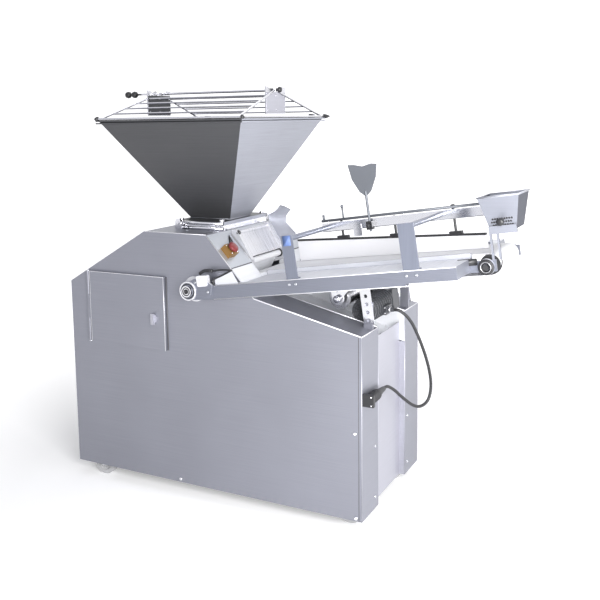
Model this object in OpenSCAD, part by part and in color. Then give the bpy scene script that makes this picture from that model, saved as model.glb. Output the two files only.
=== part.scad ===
// Volumetric dough divider: cabinet on casters, hopper, ram and measuring drum, tilting discharge conveyor.
// Millimetres. X runs along the machine towards the discharge end, Z is up, the origin is on the floor
// under the middle of the cabinet. The operator's side is -Y.

/* [Cabinet] */
// Length of the cabinet along the machine
cab_len = 1330; // [1320:5:1400]
// Width of the cabinet over its side panels
cab_wid = 620; // [616:1:640]
// Height of the panels' lower edge above the floor
panel_z = 55; // [40:1:60]
// Height of the flat deck under the hopper, from which the upper works hang
deck_h = 1080; // [1040:5:1120]
// Drop from the deck to the rear edge
rear_drop = 230; // [205:1:240]
// Where the deck begins, behind the hopper
deck_rear_x = -273; // [-290:1:-265]
// Where the deck ends, before the head
deck_front_x = 20; // [18:1:22]
// Foot of the steep front slope along the machine
shoulder_x = 228; // [225:1:240]
// Drop from the deck to the foot of the steep front slope
shoulder_drop = 232; // [228:1:238]
// Drop from the deck to the side boxes' discharge end
end_drop = 333; // [328:1:340]
// Thickness of the sheet metal
sheet = 2; // [1.5:0.1:2.5]
// Width of each side box beside the trough
box_w = 160; // [158:1:161]
// How far the end panel lies behind the end flanges
end_recess = 25; // [20:1:30]
// Drop from the deck to the end panel's upper edge
end_panel_drop = 380; // [370:1:400]
// Side of the square tube of the base frame
frame_tube = 40; // [36:1:44]
// Height of the base frame's underside
frame_z = 130; // [126:1:136]

/* [Access door] */
// Width of the door
door_w = 377; // [340:1:380]
// Height of the door
door_h = 300; // [260:5:310]
// Middle of the door along the machine
door_x = -363; // [-370:1:-355]
// Drop from the deck to the door's upper edge
door_drop = 177; // [165:1:195]
// Depth of the door's tray
door_depth = 15; // [12:1:20]

/* [Casters] */
// Radius of the wheels
wheel_r = 50; // [45:1:52]
// Width of the wheels
wheel_w = 32; // [26:1:36]
// Place of the fixed casters along the machine
rear_caster_x = -549; // [-560:1:-540]
// Place of the fixed casters across the machine
rear_caster_y = 265; // [250:1:270]
// Place of the swivel casters' pivots along the machine
front_caster_x = 552; // [540:1:555]
// Place of the swivel casters' pivots across the machine
front_caster_y = 215; // [200:1:220]
// Trail of the swivel casters
caster_trail = 30; // [25:1:34]

/* [Hopper] */
// Length of the hopper's mouth
hop_len = 662; // [600:1:680]
// Width of the hopper's mouth
hop_wid = 700; // [640:1:740]
// Height of the hopper's rim above the deck
hop_h = 442; // [400:1:480]
// Middle of the hopper's mouth along the machine
hop_x = -117; // [-130:1:-105]
// Length of the hopper's throat
throat_len = 130; // [120:1:134]
// Width of the hopper's throat
throat_wid = 140; // [120:1:146]
// Middle of the throat along the machine
throat_x = -133; // [-136:1:-131]
// Rise of the guard's ridge above the rim
guard_rise = 105; // [80:1:130]
// Radius of the guard's main rods
guard_rod_r = 5; // [4.8:0.1:6]

/* [Divider head] */
// Measuring drum's axis along the machine
drum_x = 10; // [8:1:12]
// Drop from the deck to the measuring drum's axis
drum_drop = 95; // [93:1:97]
// Radius of the measuring drum
drum_r = 66; // [64:0.5:67]
// Length of the measuring drum
drum_len = 243; // [236:1:244]
// Radius of the drum's shaft
drum_shaft_r = 16; // [14:1:18]
// Radius of the measuring pockets
pocket_r = 32; // [28:1:34]
// Height of the ram
ram_h = 80; // [70:1:80]
// Width of the ram
ram_wid = 150; // [146:1:152]
// Stroke of the ram
ram_stroke = 140; // [130:1:140]
// Radius of the discharge roller
discharge_r = 13; // [11:1:14]

/* [Conveyor] */
// Start of the conveyor's centre line along the machine
conv_x = -57; // [-60:1:-55]
// Drop from the deck to the start of the conveyor's centre line
conv_drop = 217; // [214:1:220]
// Pivot's distance along the conveyor's centre line
pivot_u = 24; // [20:1:26]
// Slope of the conveyor in degrees
belt_tilt = 8.3; // [8:0.1:9]
// Width over the conveyor's side channels
conv_wid = 690; // [688:1:700]
// Far end of the side channels along the centre line
arm_len = 1081; // [1070:1:1084]
// Depth of the side channels
arm_h = 54; // [50:1:58]
// Width of the belt
belt_w = 276; // [270:1:277]
// Radius of the head and tail rollers
roller_r = 36; // [34:0.5:37]
// Tail roller's place along the centre line
tail_u = 190; // [188:1:196]
// Head roller's place along the centre line
head_u = 1140; // [1136:1:1145]
// Driven return roller's place along the centre line
return_u = 555; // [545:1:565]
// Radius of the return roller
return_r = 44; // [40:1:45]
// Motor's place along the centre line
motor_u = 640; // [635:1:645]
// Motor's depth below the centre line
motor_drop = 158; // [154:1:160]
// Radius of the motor
motor_r = 46; // [44:1:47]

/* [Guides] */
// Height of the guide posts above the side channels
post_h = 160; // [150:1:170]
// Depth of the upper guide rail
rail_h = 35; // [30:1:38]
// Height of the rounding board where the dough lands
board_h = 83; // [70:1:84]
// Height of the rounding board at the discharge end
board_end_h = 48; // [40:1:60]
// Width of the signal paddle
paddle_w = 119; // [100:1:125]
// Height of the signal paddle
paddle_h = 130; // [110:1:140]

/* [Flour box] */
// Length of the flour box's mouth
flour_len = 140; // [130:1:144]
// Width of the flour box's mouth
flour_wid = 170; // [166:1:174]
// Depth of the flour box
flour_h = 118; // [105:1:125]

/* [Hidden] */
$fn = 48;
// Overrun of every cut
over = 5;
// Radial clearance of a shaft in its bore
run_fit = 0.05;
// Gap between bodies that pass each other
gap = 0.3;

// Cabinet outline
half_len = cab_len / 2;
half_wid = cab_wid / 2;
side_in = half_wid - sheet;
trough_half = half_wid - box_w;
end_panel_x = half_len - end_recess;
end_panel_top = deck_h - end_panel_drop;
rear_h = deck_h - rear_drop;
shoulder_z = deck_h - shoulder_drop;
end_h = deck_h - end_drop;
drum_z = deck_h - drum_drop;
conv_z = deck_h - conv_drop;
rear_top = [-half_len, rear_h];
deck_rear = [deck_rear_x, deck_h];
deck_front = [deck_front_x, deck_h];
shoulder = [shoulder_x, shoulder_z];
end_top = [half_len, end_h];
slope_angle = atan2(deck_h - shoulder_z, shoulder_x - deck_front_x);
function box_top(x) = shoulder_z + (end_h - shoulder_z) * (x - shoulder_x) / (half_len - shoulder_x);
function front_slope(x) = deck_h + (shoulder_z - deck_h) * (x - deck_front_x) / (shoulder_x - deck_front_x);
corner_lap = sheet * 1.25;
trough_x = 95;
floor_start_x = 40;
floor_start_drop = 245;
floor_end_drop = 420;
floor_start_z = deck_h - floor_start_drop;
floor_end_z = deck_h - floor_end_drop;
trough_skirt = 40;
function floor_at(x) = floor_start_z
    + (floor_end_z - floor_start_z) * (x - floor_start_x) / (end_panel_x - floor_start_x);
apron_x = 92;
apron_drop = 142;
head_lip = 14;
head_open_x = deck_front_x + head_lip;
louvre_count = 6;
louvre_len = 180;
louvre_h = 8;
louvre_pitch = 32;
louvre_z = 320;

// Dough chamber, ram and knife
throat_x0 = throat_x - throat_len / 2;
throat_x1 = throat_x + throat_len / 2;
chamber_floor = 15;
chamber_x = -260;
chamber_front = drum_x - drum_r / 2;
chamber_z = drum_z - ram_h / 2 - chamber_floor;
ram_len = 110;
ram_back = 5;
ram_front = throat_x0 - ram_back;
ram_lug_t = 10;
ram_lug_gap = 1;
ram_pin_r = 8;
ram_pin_inset = 15;
ram_pin_x = ram_front - ram_len + ram_pin_inset;
ram_pin_z = chamber_z - ram_back;
knife_t = 8;
knife_wid = 170;
knife_z = drum_z + ram_h / 2 + gap;
rocker_x = ram_pin_x + ram_stroke / 2;
rocker_drop = 370;
rocker_z = chamber_z - rocker_drop;
rocker_half = 12;
rocker_t = 34;
rocker_hub_r = 32;
rocker_shaft_r = 15;
rocker_arm = ram_pin_z - rocker_z;
rocker_angle = atan2(ram_stroke / 2, rocker_arm);
cyl_rise = 140;
cyl_z = rocker_z + cyl_rise;
cyl_r = 34;
cyl_len = 170;
cyl_x = -500;
cyl_leg_t = 24;
rod_r = 14;
rod_nose_r = 12;
rod_tip_x = rocker_x - cyl_rise * tan(rocker_angle) - rocker_t / 2 / cos(rocker_angle) - gap * 3;

// Measuring drum, cheeks and cover
cheek_gap = 0.5;
cheek_t = 20;
cheek_in = drum_len / 2 + cheek_gap;
cheek_out = cheek_in + cheek_t;
pocket_pitch = 84;
pocket_depth = 42;
piston_t = 20;
lever_w = 24;
lever_len = 92;
lever_t = 12;
discharge_x = 107;
discharge_drop = 31;
discharge_z = drum_z - discharge_drop;
discharge_shaft_r = 5;
discharge_boss = 20;
cover_x = 48;
cover_drop = 14;
cover_z = deck_h - cover_drop;
cover_foot_x = 105;
cover_foot_drop = 15;
cover_foot_z = drum_z - cover_foot_drop;
cover_t = 4;
cover_pin_r = 5;
cover_knuckle_r = 10;
cover_side_gap = 1;
cover_angle = atan2(cover_foot_z - cover_z, cover_foot_x - cover_x);
cover_len = norm([cover_foot_x - cover_x, cover_foot_z - cover_z]);
handle_x = 36;
handle_rise = 5;
handle_z = drum_z + handle_rise;
handle_len = 144;
handle_h = 165;
// Outline of the handle plate, from its fixing on the cheek round the flared grip
handle_shares = [
    [0.17, 0.3], [0.07, 0.73], [0.3, 0.83], [0.4, 0.9], [0.48, 1], [0.62, 0.98], [0.84, 0.9],
    [0.76, 0.82], [0.69, 0.74], [0.67, 0.56], [1, 0.29], [0.87, 0.16], [0.42, 0]
];

// Base frame
front_upright_x = -60;
upright_y = 70;
tank_rail_x = -330;

// Access door and latch
door_z = deck_h - door_drop - door_h;
door_x0 = door_x - door_w / 2;
door_x1 = door_x + door_w / 2;
door_back = half_wid + gap;
door_front = door_back + door_depth;
door_margin = 26;
hinge_inset = 12;
hinge_stand = 9;
hinge_x = door_x0 - hinge_inset;
hinge_y = half_wid + hinge_stand;
hinge_pin_r = 4;
knuckle_r = 7;
latch_inset = 52;
latch_rise = 128;
latch_x = door_x1 - latch_inset;
latch_z = door_z + latch_rise;
latch_shaft_r = 6;
latch_plate_r = 17;
latch_plate_t = 3;
wing_w = 12;
wing_h = 44;
wing_t = 12;
tongue_w = 14;
tongue_len = 44;
tongue_t = 3;

// Casters
axle_r = 6;
fork_t = 5;
fork_gap = 2;
fork_w = 34;
fork_plate_len = 96;
fork_plate_wid = 70;
fork_plate_t = 6;
stem_r = 10;
stem_len = 30;
groove_r = wheel_w / 5;
groove_share = 0.52;

// Emergency stop on the near front slope
estop_s = 97;
estop_y = -256;
estop_side = 50;
estop_base_h = 26;
estop_stem_r = 11;
estop_cap_r = 22;
estop_cap_h = 14;
estop_travel = 6;

// Hopper, throat and clamps
neck_x = -104;
neck_len = 192;
neck_wid = 160;
flange_t = 14;
flange_x = -93;
flange_len = 226;
flange_wid = 360;
throat_frame_h = 20;
flange_z = deck_h + throat_frame_h;
neck_z = flange_z + flange_t;
flange_x0 = flange_x - flange_len / 2;
flange_x1 = flange_x + flange_len / 2;
joint_groove = 6;
hop_rim_z = deck_h + hop_h;
rim_w = 7;
rim_h = 15;
rim_gap = 4;
clamp_head_r = 10;
clamp_head_h = 9;
stud_r = 6;
clamp_inset = 16;
clamp_x = [flange_x0 + clamp_inset, flange_x1 - clamp_inset];
clamp_y = flange_wid / 2 - clamp_inset;
mouth = [hop_x - hop_len / 2, -hop_wid / 2, hop_x + hop_len / 2, hop_wid / 2];
neck = [neck_x - neck_len / 2, -neck_wid / 2, neck_x + neck_len / 2, neck_wid / 2];
throat = [throat_x0, -throat_wid / 2, throat_x1, throat_wid / 2];

// Hopper guard
guard_hip_r = guard_rod_r * 0.9;
guard_bar_r = guard_rod_r * 0.7;
guard_z = hop_rim_z + guard_rod_r + gap;
guard_half = hop_wid / 2;
guard_hinge_out = 12;
guard_hinge_y = guard_half + guard_hinge_out;
guard_ridge_inset = 46;
guard_hip_inset = 12;
guard_rows = 5;
guard_boss = 14;
guard_plate_w = 165;
guard_plate_drop = 94;
guard_plate_t = 4;
guard_ear_w = 26;
guard_ear_h = 14;
guard_lug_w = 20;
guard_lug_r = 11;
guard_lug_inset = 60;

// Hydraulic unit
tank_x = -575;
tank_y = -200;
tank_len = 310;
tank_wid = 350;
tank_h = 250;
tank_top = frame_z + frame_tube + tank_h;
pump_x = -400;
pump_y = -110;
pump_r = 66;
pump_h = 200;
pump_fin_r = 72;
pump_fin_t = 4;
pump_fins = 8;

// Conveyor sides: u runs along the conveyor's centre line, w is square to the belt
arm_out = conv_wid / 2;
arm_t = 3;
arm_top = 12;
arm_low = arm_top - arm_h;
arm_step_u = 900;
arm_step = 10;
arm_neck_u = 110;
hub_r = 38;
hub_len = 18;
hub_block_len = 106;
// Outline of the clamp block that joins the hub to the channel, in shares of its length and the hub's radius
hub_block_shares = [[0, -0.9], [0.9, -0.6], [1, 0.4], [0.66, 1.2], [0.3, 1.15], [0, 0.9]];
spindle_r = 15;
spindle_flange_r = 45;
spindle_flange_t = 6;
spindle_collar_r = 24;
spindle_cap_r = 22;
spindle_cap_t = 11;
flange_lip = 32;
flange_u = pivot_u + spindle_flange_r + arm_t;
wing_u = 260;
belt_side = 7;
bed_half = belt_w / 2 + belt_side;
lip_t = 3;
lip_h = 16;
low_lip = 20;
takeup_y = 182;
takeup_t = 6;
takeup_back = 41;
takeup_reach = 34;
takeup_low = -36;
takeup_top = 4;
bearing_r = 28;
bearing_t = 10;

// Belt, rollers and bed
roller_w = -18;
belt_t = 2;
belt_in = roller_r + gap;
belt_out = belt_in + belt_t;
belt_top = roller_w + belt_out;
bed_t = 3;
bed_top = roller_w + belt_in - gap;
bed_end_gap = 7;
bed_u0 = tail_u + belt_out + bed_end_gap;
bed_u1 = head_u - belt_out - bed_end_gap;
bed_lip = 20;
tail_arm_back = 25;
tail_arm_len = 145;
tail_arm_low = -34;
shaft_r = 10;
return_w = roller_w - belt_out - gap - return_r;
return_shaft_r = 8;
hanger_y = 152;
hanger_t = 6;
hanger_r = 24;
stay_u = 665;
stay_t = 14;

// Conveyor drive
motor_y0 = -125;
motor_y1 = 75;
fin_h = 4;
fin_t = 5;
fin_count = 9;
fan_cover_t = 16;
fan_share = 0.92;
gearbox_len = 84;
gearbox_wid = 65;
gearbox_h = 80;
output_r = 25;
chain_guard_y = hanger_y + hanger_t + gap;
chain_guard_t = 24;
chain_guard_r = 28;
chain_tab_u = 585;
chain_tab_pitch = 50;
chain_tab_w = 24;
shaft_hole_r = 12;
terminal_len = 44;
terminal_wid = 54;
terminal_h = 34;
gland_r = 11;
gland_len = 22;
gland_wall = 1;

// Tilt straps and the lugs they are pinned to
strap_u = 688;
strap_w = 40;
strap_t = 4;
strap_y = 200;
strap_low = -195;
strap_foot = 25;
strap_hole_r = 7;
strap_hole_w = -60;
strap_hole_pitch = 30;
strap_hole_count = 5;
lug_t = 8;
lug_len = 35;
lug_h = 104;

// Guide frame, rounding board and paddle
first_post_u = 472;
second_post_u = 926;
first_post_w = 46;
second_post_w = 58;
post_t = 6;
post_foot = 24;
post_foot_t = 4;
cross_r = 10;
cross_drop = 14;
cross_w = arm_top + post_h - cross_drop;
rail_y = 12;
rail_t = 8;
rail_u0 = 450;
rail_u1 = 1135;
rail_low = cross_w - rail_h / 2;
thin_rod_r = 5;
thin_rod_rise = 9;
thin_rod_up = 24;
stub_shares = [0.04, 0.5, 0.96];
ball_u = 545;
ball_r = 6;
ball_pin_r = 3;
ball_pin_h = 50;
tab_u = 600;
tab_w = 36;
tab_h = 46;
board_u0 = 275;
board_u1 = 1100;
board_y0 = 128;
board_y1 = 12;
board_t = 12;
board_clear = 2;
board_low = belt_top + board_clear;
board_len = norm([board_u1 - board_u0, board_y1 - board_y0]);
board_turn = atan2(board_y1 - board_y0, board_u1 - board_u0);
edge_h = 8;
edge_t = 14;
hanger_shares = [0.27, 0.56, 0.86];
hanger_rod_r = 5;
hanger_foot_len = 50;
hanger_foot_wid = 18;
hanger_foot_h = 14;
hanger_top = 174;
clamp_wid = 22;
clamp_h = 16;
clamp_low = 150;
clamp_wall = 12;
paddle_u = 660;
paddle_rod_r = 5;
paddle_low = 262;
paddle_t = 4;
paddle_clamp = 24;
// Outline of the paddle from its point, in shares of its width and height
paddle_shares = [
    [0, 0], [0.2, 0.15], [0.42, 0.55], [0.5, 0.92], [0.3, 0.95], [0, 0.9],
    [-0.3, 0.98], [-0.5, 1], [-0.42, 0.55], [-0.2, 0.15]
];

// Flour box and its brush
flour_u = 1210;
flour_y = -120;
flour_low = 102;
flour_taper = 26;
flour_wall = 2;
flour_leg_u = 1166;
flour_leg_pitch = 24;
flour_leg_w = 8;
flour_plate_h = 27;
flour_plate_t = 8;
flour_plate_drop = 11;
brush_rise = 30;
brush_w = flour_low + brush_rise;
brush_shaft_r = 5;
brush_r = 20;
brush_blade_t = 3;
brush_blades = 6;
brush_crank_r = 12;
brush_crank_t = 10;
sieve_r = 3;
sieve_pitch = 14;
flour_mouth = [flour_u - flour_len / 2, flour_y - flour_wid / 2,
               flour_u + flour_len / 2, flour_y + flour_wid / 2];
flour_floor = [for (i = [0:3]) flour_mouth[i] + (i < 2 ? flour_taper : -flour_taper)];

// Power socket, plug and cord
socket_y0 = -308;
socket_y1 = -292;
socket_z = 516;
socket_d = 44;
socket_h = 44;
plug_x = 687;
plug_r = 19;
plug_neck_r = 9;
plug_shoulder_r = 15;
plug_end = -150;
plug_grip = 74;
cord_r = 6;
cord_sides = 8;
cord_x = 684;
cord_y = -30;
cord_drop = 73;
cord_start = [cord_x, cord_y, conv_z - cord_drop];
cord_end = [plug_x, plug_end, socket_z];
// Way of the cord from the gland round its loop, and its height in shares of the gland's over the plug
cord_ways = [
    [702, -30], [724, -18], [743, 0], [757, 22], [768, 46], [777, 72], [783, 95], [785, 112], [782, 121],
    [775, 115], [764, 95], [751, 65], [737, 33], [723, 0], [710, -35], [699, -70], [690, -105], [687, -130]
];
cord_height_shares = [
    1, 0.934, 0.818, 0.653, 0.471, 0.27, 0.069, -0.113, -0.277,
    -0.405, -0.467, -0.471, -0.416, -0.321, -0.212, -0.102, -0.022, 0
];
cord_route = [for (i = [0:len(cord_ways) - 1])
    [cord_ways[i][0], cord_ways[i][1], cord_end[2] + (cord_start[2] - cord_end[2]) * cord_height_shares[i]]];

// Shapes used throughout
module block(a, b) {
    translate(a) cube(b - a);
}
// Draws its children's X and Z outline from one place across the machine to another
module across(y0, y1) {
    translate([0, y1, 0]) rotate([90, 0, 0]) linear_extrude(y1 - y0) children();
}
// Bar of thickness t on the right-hand side of the line from p to q
module strip(p, q, t) {
    translate(p) rotate(atan2(q[1] - p[1], q[0] - p[0])) translate([0, -t]) square([norm(q - p), t]);
}
module rod_y(x, z, y0, y1, r) {
    translate([x, y0, z]) rotate([-90, 0, 0]) cylinder(h = y1 - y0, r = r);
}
module rod_x(y, z, x0, x1, r) {
    translate([x0, y, z]) rotate([0, 90, 0]) cylinder(h = x1 - x0, r = r);
}
module rod_z(x, y, z0, z1, r) {
    translate([x, y, z0]) cylinder(h = z1 - z0, r = r);
}
module rod(a, b, r) {
    d = b - a;
    translate(a) rotate([0, acos(d[2] / norm(d)), atan2(d[1], d[0])]) cylinder(h = norm(d), r = r);
}
module far() {
    mirror([0, 1, 0]) children();
}
module both() {
    children();
    far() children();
}
module on_slope(s, y) {
    translate([deck_front_x, 0, deck_h]) rotate([0, slope_angle, 0]) translate([s, y, 0]) children();
}
module on_conveyor() {
    translate([conv_x, 0, conv_z]) rotate([0, -belt_tilt, 0]) children();
}
module stadium(p, q, r) {
    translate(p) circle(r);
    translate(q) circle(r);
    translate(p) rotate(atan2(q[1] - p[1], q[0] - p[0])) translate([0, -r]) square([norm(q - p), 2 * r]);
}
// Four-sided funnel between two rectangles, each given as [x0, y0, x1, y1]
module funnel(low, z0, high, z1) {
    polyhedron(
        [for (c = [[low, z0], [high, z1]])
            for (corner = [[0, 1], [2, 1], [2, 3], [0, 3]])
                [c[0][corner[0]], c[0][corner[1]], c[1]]],
        [[0, 1, 2, 3], [7, 6, 5, 4], [0, 4, 5, 1], [1, 5, 6, 2], [2, 6, 7, 3], [3, 7, 4, 0]]);
}
function shrink(r, d) = [r[0] + d, r[1] + d, r[2] - d, r[3] - d];

// Cabinet
module base_frame() color("dimgray") difference() {
    half = frame_tube / 2;
    union() {
        both() block([-half_len + sheet, side_in - frame_tube, frame_z],
                     [end_panel_x, side_in, frame_z + frame_tube]);
        for (x = [-half_len + sheet + half, rear_caster_x, tank_rail_x, rocker_x, front_upright_x,
                  front_caster_x, end_panel_x - half])
            block([x - half, -side_in + half, frame_z], [x + half, side_in - half, frame_z + frame_tube]);
        for (x = [rocker_x, front_upright_x])
            both() block([x - half, upright_y, frame_z], [x + half, upright_y + frame_tube, chamber_z]);
        rod_y(rocker_x, rocker_z, -upright_y - half, upright_y + half, rocker_shaft_r);
    }
    both()
        rod_z(front_caster_x, front_caster_y, frame_z - over, frame_z + frame_tube + over, stem_r + run_fit);
}
// Side panel with its box top, end flange and the lug that holds the tilt strap
module side_shell() {
    lug_x1 = half_len - sheet;
    lug_x0 = lug_x1 - lug_len;
    across(-half_wid, -side_in)
        polygon([[-half_len, panel_z], [half_len, panel_z], end_top, shoulder,
                 deck_front, deck_rear, rear_top]);
    across(-half_wid, -trough_half) {
        strip(shoulder, end_top, sheet);
        polygon([[half_len - sheet, panel_z], [half_len, panel_z], end_top,
                 [half_len - sheet, box_top(half_len - sheet)]]);
    }
    across(-strap_y + gap, -strap_y + gap + lug_t)
        polygon([[lug_x0, box_top(lug_x0) - sheet], [lug_x1, box_top(lug_x1) - sheet],
                 [lug_x1, end_h + lug_h], [lug_x0, end_h + lug_h]]);
}
module side_panel_near() color("silver") {
    difference() {
        side_shell();
        block([door_x0 + door_margin, -half_wid - over, door_z + door_margin],
              [door_x1 - door_margin, -side_in + over, door_z + door_h - door_margin]);
    }
    for (z = [door_z, door_z + door_h * 2 / 3]) {
        rod_z(hinge_x, -hinge_y, z, z + door_h / 3, knuckle_r);
        block([hinge_x - knuckle_r, -hinge_y, z], [hinge_x, -half_wid, z + door_h / 3]);
    }
    rod_z(hinge_x, -hinge_y, door_z, door_z + door_h, hinge_pin_r);
}
module side_panel_far() color("silver") far() side_shell();
module rear_panel() color("silver") difference() {
    block([-half_len, -side_in, panel_z], [-half_len + sheet, side_in, rear_h - corner_lap]);
    for (i = [0:louvre_count - 1])
        both() block([-half_len - over, louvre_len / 4, louvre_z + i * louvre_pitch],
                     [-half_len + sheet + over, louvre_len * 5 / 4, louvre_z + i * louvre_pitch + louvre_h]);
}
module top_cover() color("silver") difference() {
    across(-side_in, side_in) {
        strip(rear_top, deck_rear, sheet);
        strip(deck_rear, deck_front, sheet);
    }
    block([throat_x0, -throat_wid / 2, deck_h - sheet - over], [throat_x1, throat_wid / 2, deck_h + over]);
}
module front_plate() color("lightsteelblue") difference() {
    across(-side_in, side_in)
        strip(deck_front + corner_lap * [cos(slope_angle), -sin(slope_angle)], shoulder, sheet);
    block([head_open_x, -trough_half, shoulder_z - over], [shoulder_x + over, trough_half, deck_h + over]);
}
module chute_trough() color("gainsboro") {
    both() across(-trough_half, -trough_half + sheet)
        polygon([
            [trough_x, front_slope(trough_x)], shoulder, [half_len - sheet, box_top(half_len - sheet)],
            [half_len - sheet, floor_end_z - trough_skirt], [trough_x, floor_at(trough_x) - trough_skirt]]);
    across(-trough_half, trough_half)
        strip([floor_start_x, floor_start_z], [end_panel_x, floor_end_z], sheet);
    across(-cheek_in + cheek_gap * 4, cheek_in - cheek_gap * 4)
        strip([floor_start_x, floor_start_z - sheet], [apron_x, deck_h - apron_drop], sheet);
}
// Recessed panel with folded returns that reach the side panels' end flanges
module end_panel() color("gainsboro") {
    block([end_panel_x, -trough_half + sheet, panel_z],
          [end_panel_x + sheet, trough_half - sheet, end_panel_top]);
    both() block([end_panel_x, trough_half - sheet, panel_z],
                 [half_len, trough_half, floor_end_z - trough_skirt]);
}

// Access door
module access_door() color("silver") difference() {
    mid0 = door_z + door_h / 3 + gap;
    mid1 = door_z + door_h * 2 / 3 - gap;
    union() {
        block([door_x0, -door_front, door_z], [door_x1, -door_back, door_z + door_h]);
        rod_z(hinge_x, -hinge_y, mid0, mid1, knuckle_r);
        block([hinge_x, -hinge_y - knuckle_r, mid0], [door_x0 + sheet, -hinge_y, mid1]);
    }
    block([door_x0 + sheet, -door_front + sheet, door_z + sheet],
          [door_x1 - sheet, -door_back + over, door_z + door_h - sheet]);
    rod_z(hinge_x, -hinge_y, door_z, door_z + door_h, hinge_pin_r + run_fit);
    rod_y(latch_x, latch_z, -door_front - over, -door_back, latch_shaft_r + run_fit);
}
module door_latch() color("white") {
    plate_y = -door_front - gap;
    rod_y(latch_x, latch_z, plate_y - latch_plate_t, -side_in + gap + tongue_t, latch_shaft_r);
    rod_y(latch_x, latch_z, plate_y - latch_plate_t, plate_y, latch_plate_r);
    block([latch_x - wing_w / 2, plate_y - latch_plate_t - wing_t, latch_z - wing_h / 2],
          [latch_x + wing_w / 2, plate_y - latch_plate_t, latch_z + wing_h / 2]);
    block([latch_x - tongue_w / 2, -side_in + gap, latch_z - tongue_len],
          [latch_x + tongue_w / 2, -side_in + gap + tongue_t, latch_z + tongue_w / 2]);
}

// Casters: the fork's crown is at plate_x, its wheel at x
module fork(x, y, plate_x, crown_z) {
    out = wheel_w / 2 + fork_gap;
    low = crown_z - fork_plate_t;
    block([plate_x - fork_plate_len / 2, y - fork_plate_wid / 2, low],
          [plate_x + fork_plate_len / 2, y + fork_plate_wid / 2, crown_z]);
    for (y0 = [y - out - fork_t, y + out])
        across(y0, y0 + fork_t) hull() {
            translate([x, wheel_r]) circle(r = axle_r * 2, $fn = 32);
            translate([plate_x - fork_w / 2, low]) square([fork_w, fork_plate_t]);
        }
    rod_y(x, wheel_r, y - out - fork_t, y + out + fork_t, axle_r);
}
module wheel(x, y) translate([x, y, wheel_r]) rotate([90, 0, 0]) rotate_extrude() difference() {
    translate([axle_r + run_fit, -wheel_w / 2]) square([wheel_r - axle_r - run_fit, wheel_w]);
    for (side = [-wheel_w / 2, wheel_w / 2])
        translate([wheel_r * groove_share, side]) circle(groove_r);
}
module rear_caster_forks() color("silver") both() fork(rear_caster_x, -rear_caster_y, rear_caster_x, frame_z);
module swivel_fork() {
    fork(front_caster_x + caster_trail, -front_caster_y, front_caster_x, frame_z - gap);
    rod_z(front_caster_x, -front_caster_y, frame_z - fork_plate_t, frame_z + stem_len, stem_r);
}
module front_fork_near() color("silver") swivel_fork();
module front_fork_far() color("silver") far() swivel_fork();
module rear_wheel_near() color("whitesmoke") wheel(rear_caster_x, -rear_caster_y);
module rear_wheel_far() color("whitesmoke") wheel(rear_caster_x, rear_caster_y);
module front_wheel_near() color("whitesmoke") wheel(front_caster_x + caster_trail, -front_caster_y);
module front_wheel_far() color("whitesmoke") wheel(front_caster_x + caster_trail, front_caster_y);

// Emergency stop
module estop_base() color("gold") on_slope(estop_s, estop_y) difference() {
    linear_extrude(estop_base_h) square(estop_side, center = true);
    translate([0, 0, estop_base_h / 3]) cylinder(h = estop_base_h, r = estop_stem_r + run_fit);
}
module estop_button() color("red") on_slope(estop_s, estop_y) {
    translate([0, 0, estop_base_h / 3 + estop_travel + gap])
        cylinder(h = estop_base_h * 2 / 3, r = estop_stem_r);
    translate([0, 0, estop_base_h + estop_travel + gap]) rotate_extrude() {
        square([estop_cap_r, estop_cap_h / 2]);
        translate([0, estop_cap_h / 2]) intersection() {
            scale([1, estop_cap_h / 2 / estop_cap_r]) circle(estop_cap_r);
            square([estop_cap_r, estop_cap_h]);
        }
    }
}

// Hopper
module throat_taper() {
    funnel(throat, deck_h, shrink(neck, sheet), neck_z);
}
module hopper() color("slategray") difference() {
    union() {
        funnel(neck, neck_z, mouth, hop_rim_z);
        for (i = [0, 1]) {
            bar_z = hop_rim_z - rim_h + i * (rim_h + rim_gap) / 2;
            block([mouth[0] - rim_w, mouth[1] - rim_w, bar_z],
                  [mouth[2] + rim_w, mouth[3] + rim_w, bar_z + (rim_h - rim_gap) / 2]);
        }
        block([flange_x0, -flange_wid / 2, flange_z], [flange_x1, flange_wid / 2, neck_z]);
        for (x = [mouth[0] + guard_lug_inset, mouth[2] - guard_lug_inset])
            block([x - guard_lug_w / 2, mouth[3], hop_rim_z - rim_h],
                  [x + guard_lug_w / 2, guard_hinge_y + guard_lug_r, guard_z + guard_lug_r]);
    }
    funnel(shrink(neck, sheet), neck_z, shrink(mouth, sheet), hop_rim_z + gap);
    throat_taper();
    for (x = clamp_x)
        both() rod_z(x, clamp_y, flange_z - over, neck_z + over, stud_r + gap);
    rod_x(guard_hinge_y, guard_z, mouth[0], mouth[2], guard_rod_r + run_fit);
}
module throat_frame() color("silver") difference() {
    union() {
        block([flange_x0, -flange_wid / 2, deck_h], [flange_x1, flange_wid / 2, flange_z - joint_groove]);
        block([flange_x0 + joint_groove, -flange_wid / 2 + joint_groove, deck_h],
              [flange_x1 - joint_groove, flange_wid / 2 - joint_groove, flange_z]);
    }
    throat_taper();
    for (x = clamp_x)
        both() rod_z(x, clamp_y, deck_h + over, flange_z + over, stud_r);
}
module clamp_bolts() color("whitesmoke") for (x = clamp_x) both() {
    rod_z(x, clamp_y, deck_h + over, neck_z + clamp_head_h / 2, stud_r);
    rod_z(x, clamp_y, neck_z, neck_z + clamp_head_h, clamp_head_r);
}
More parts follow.
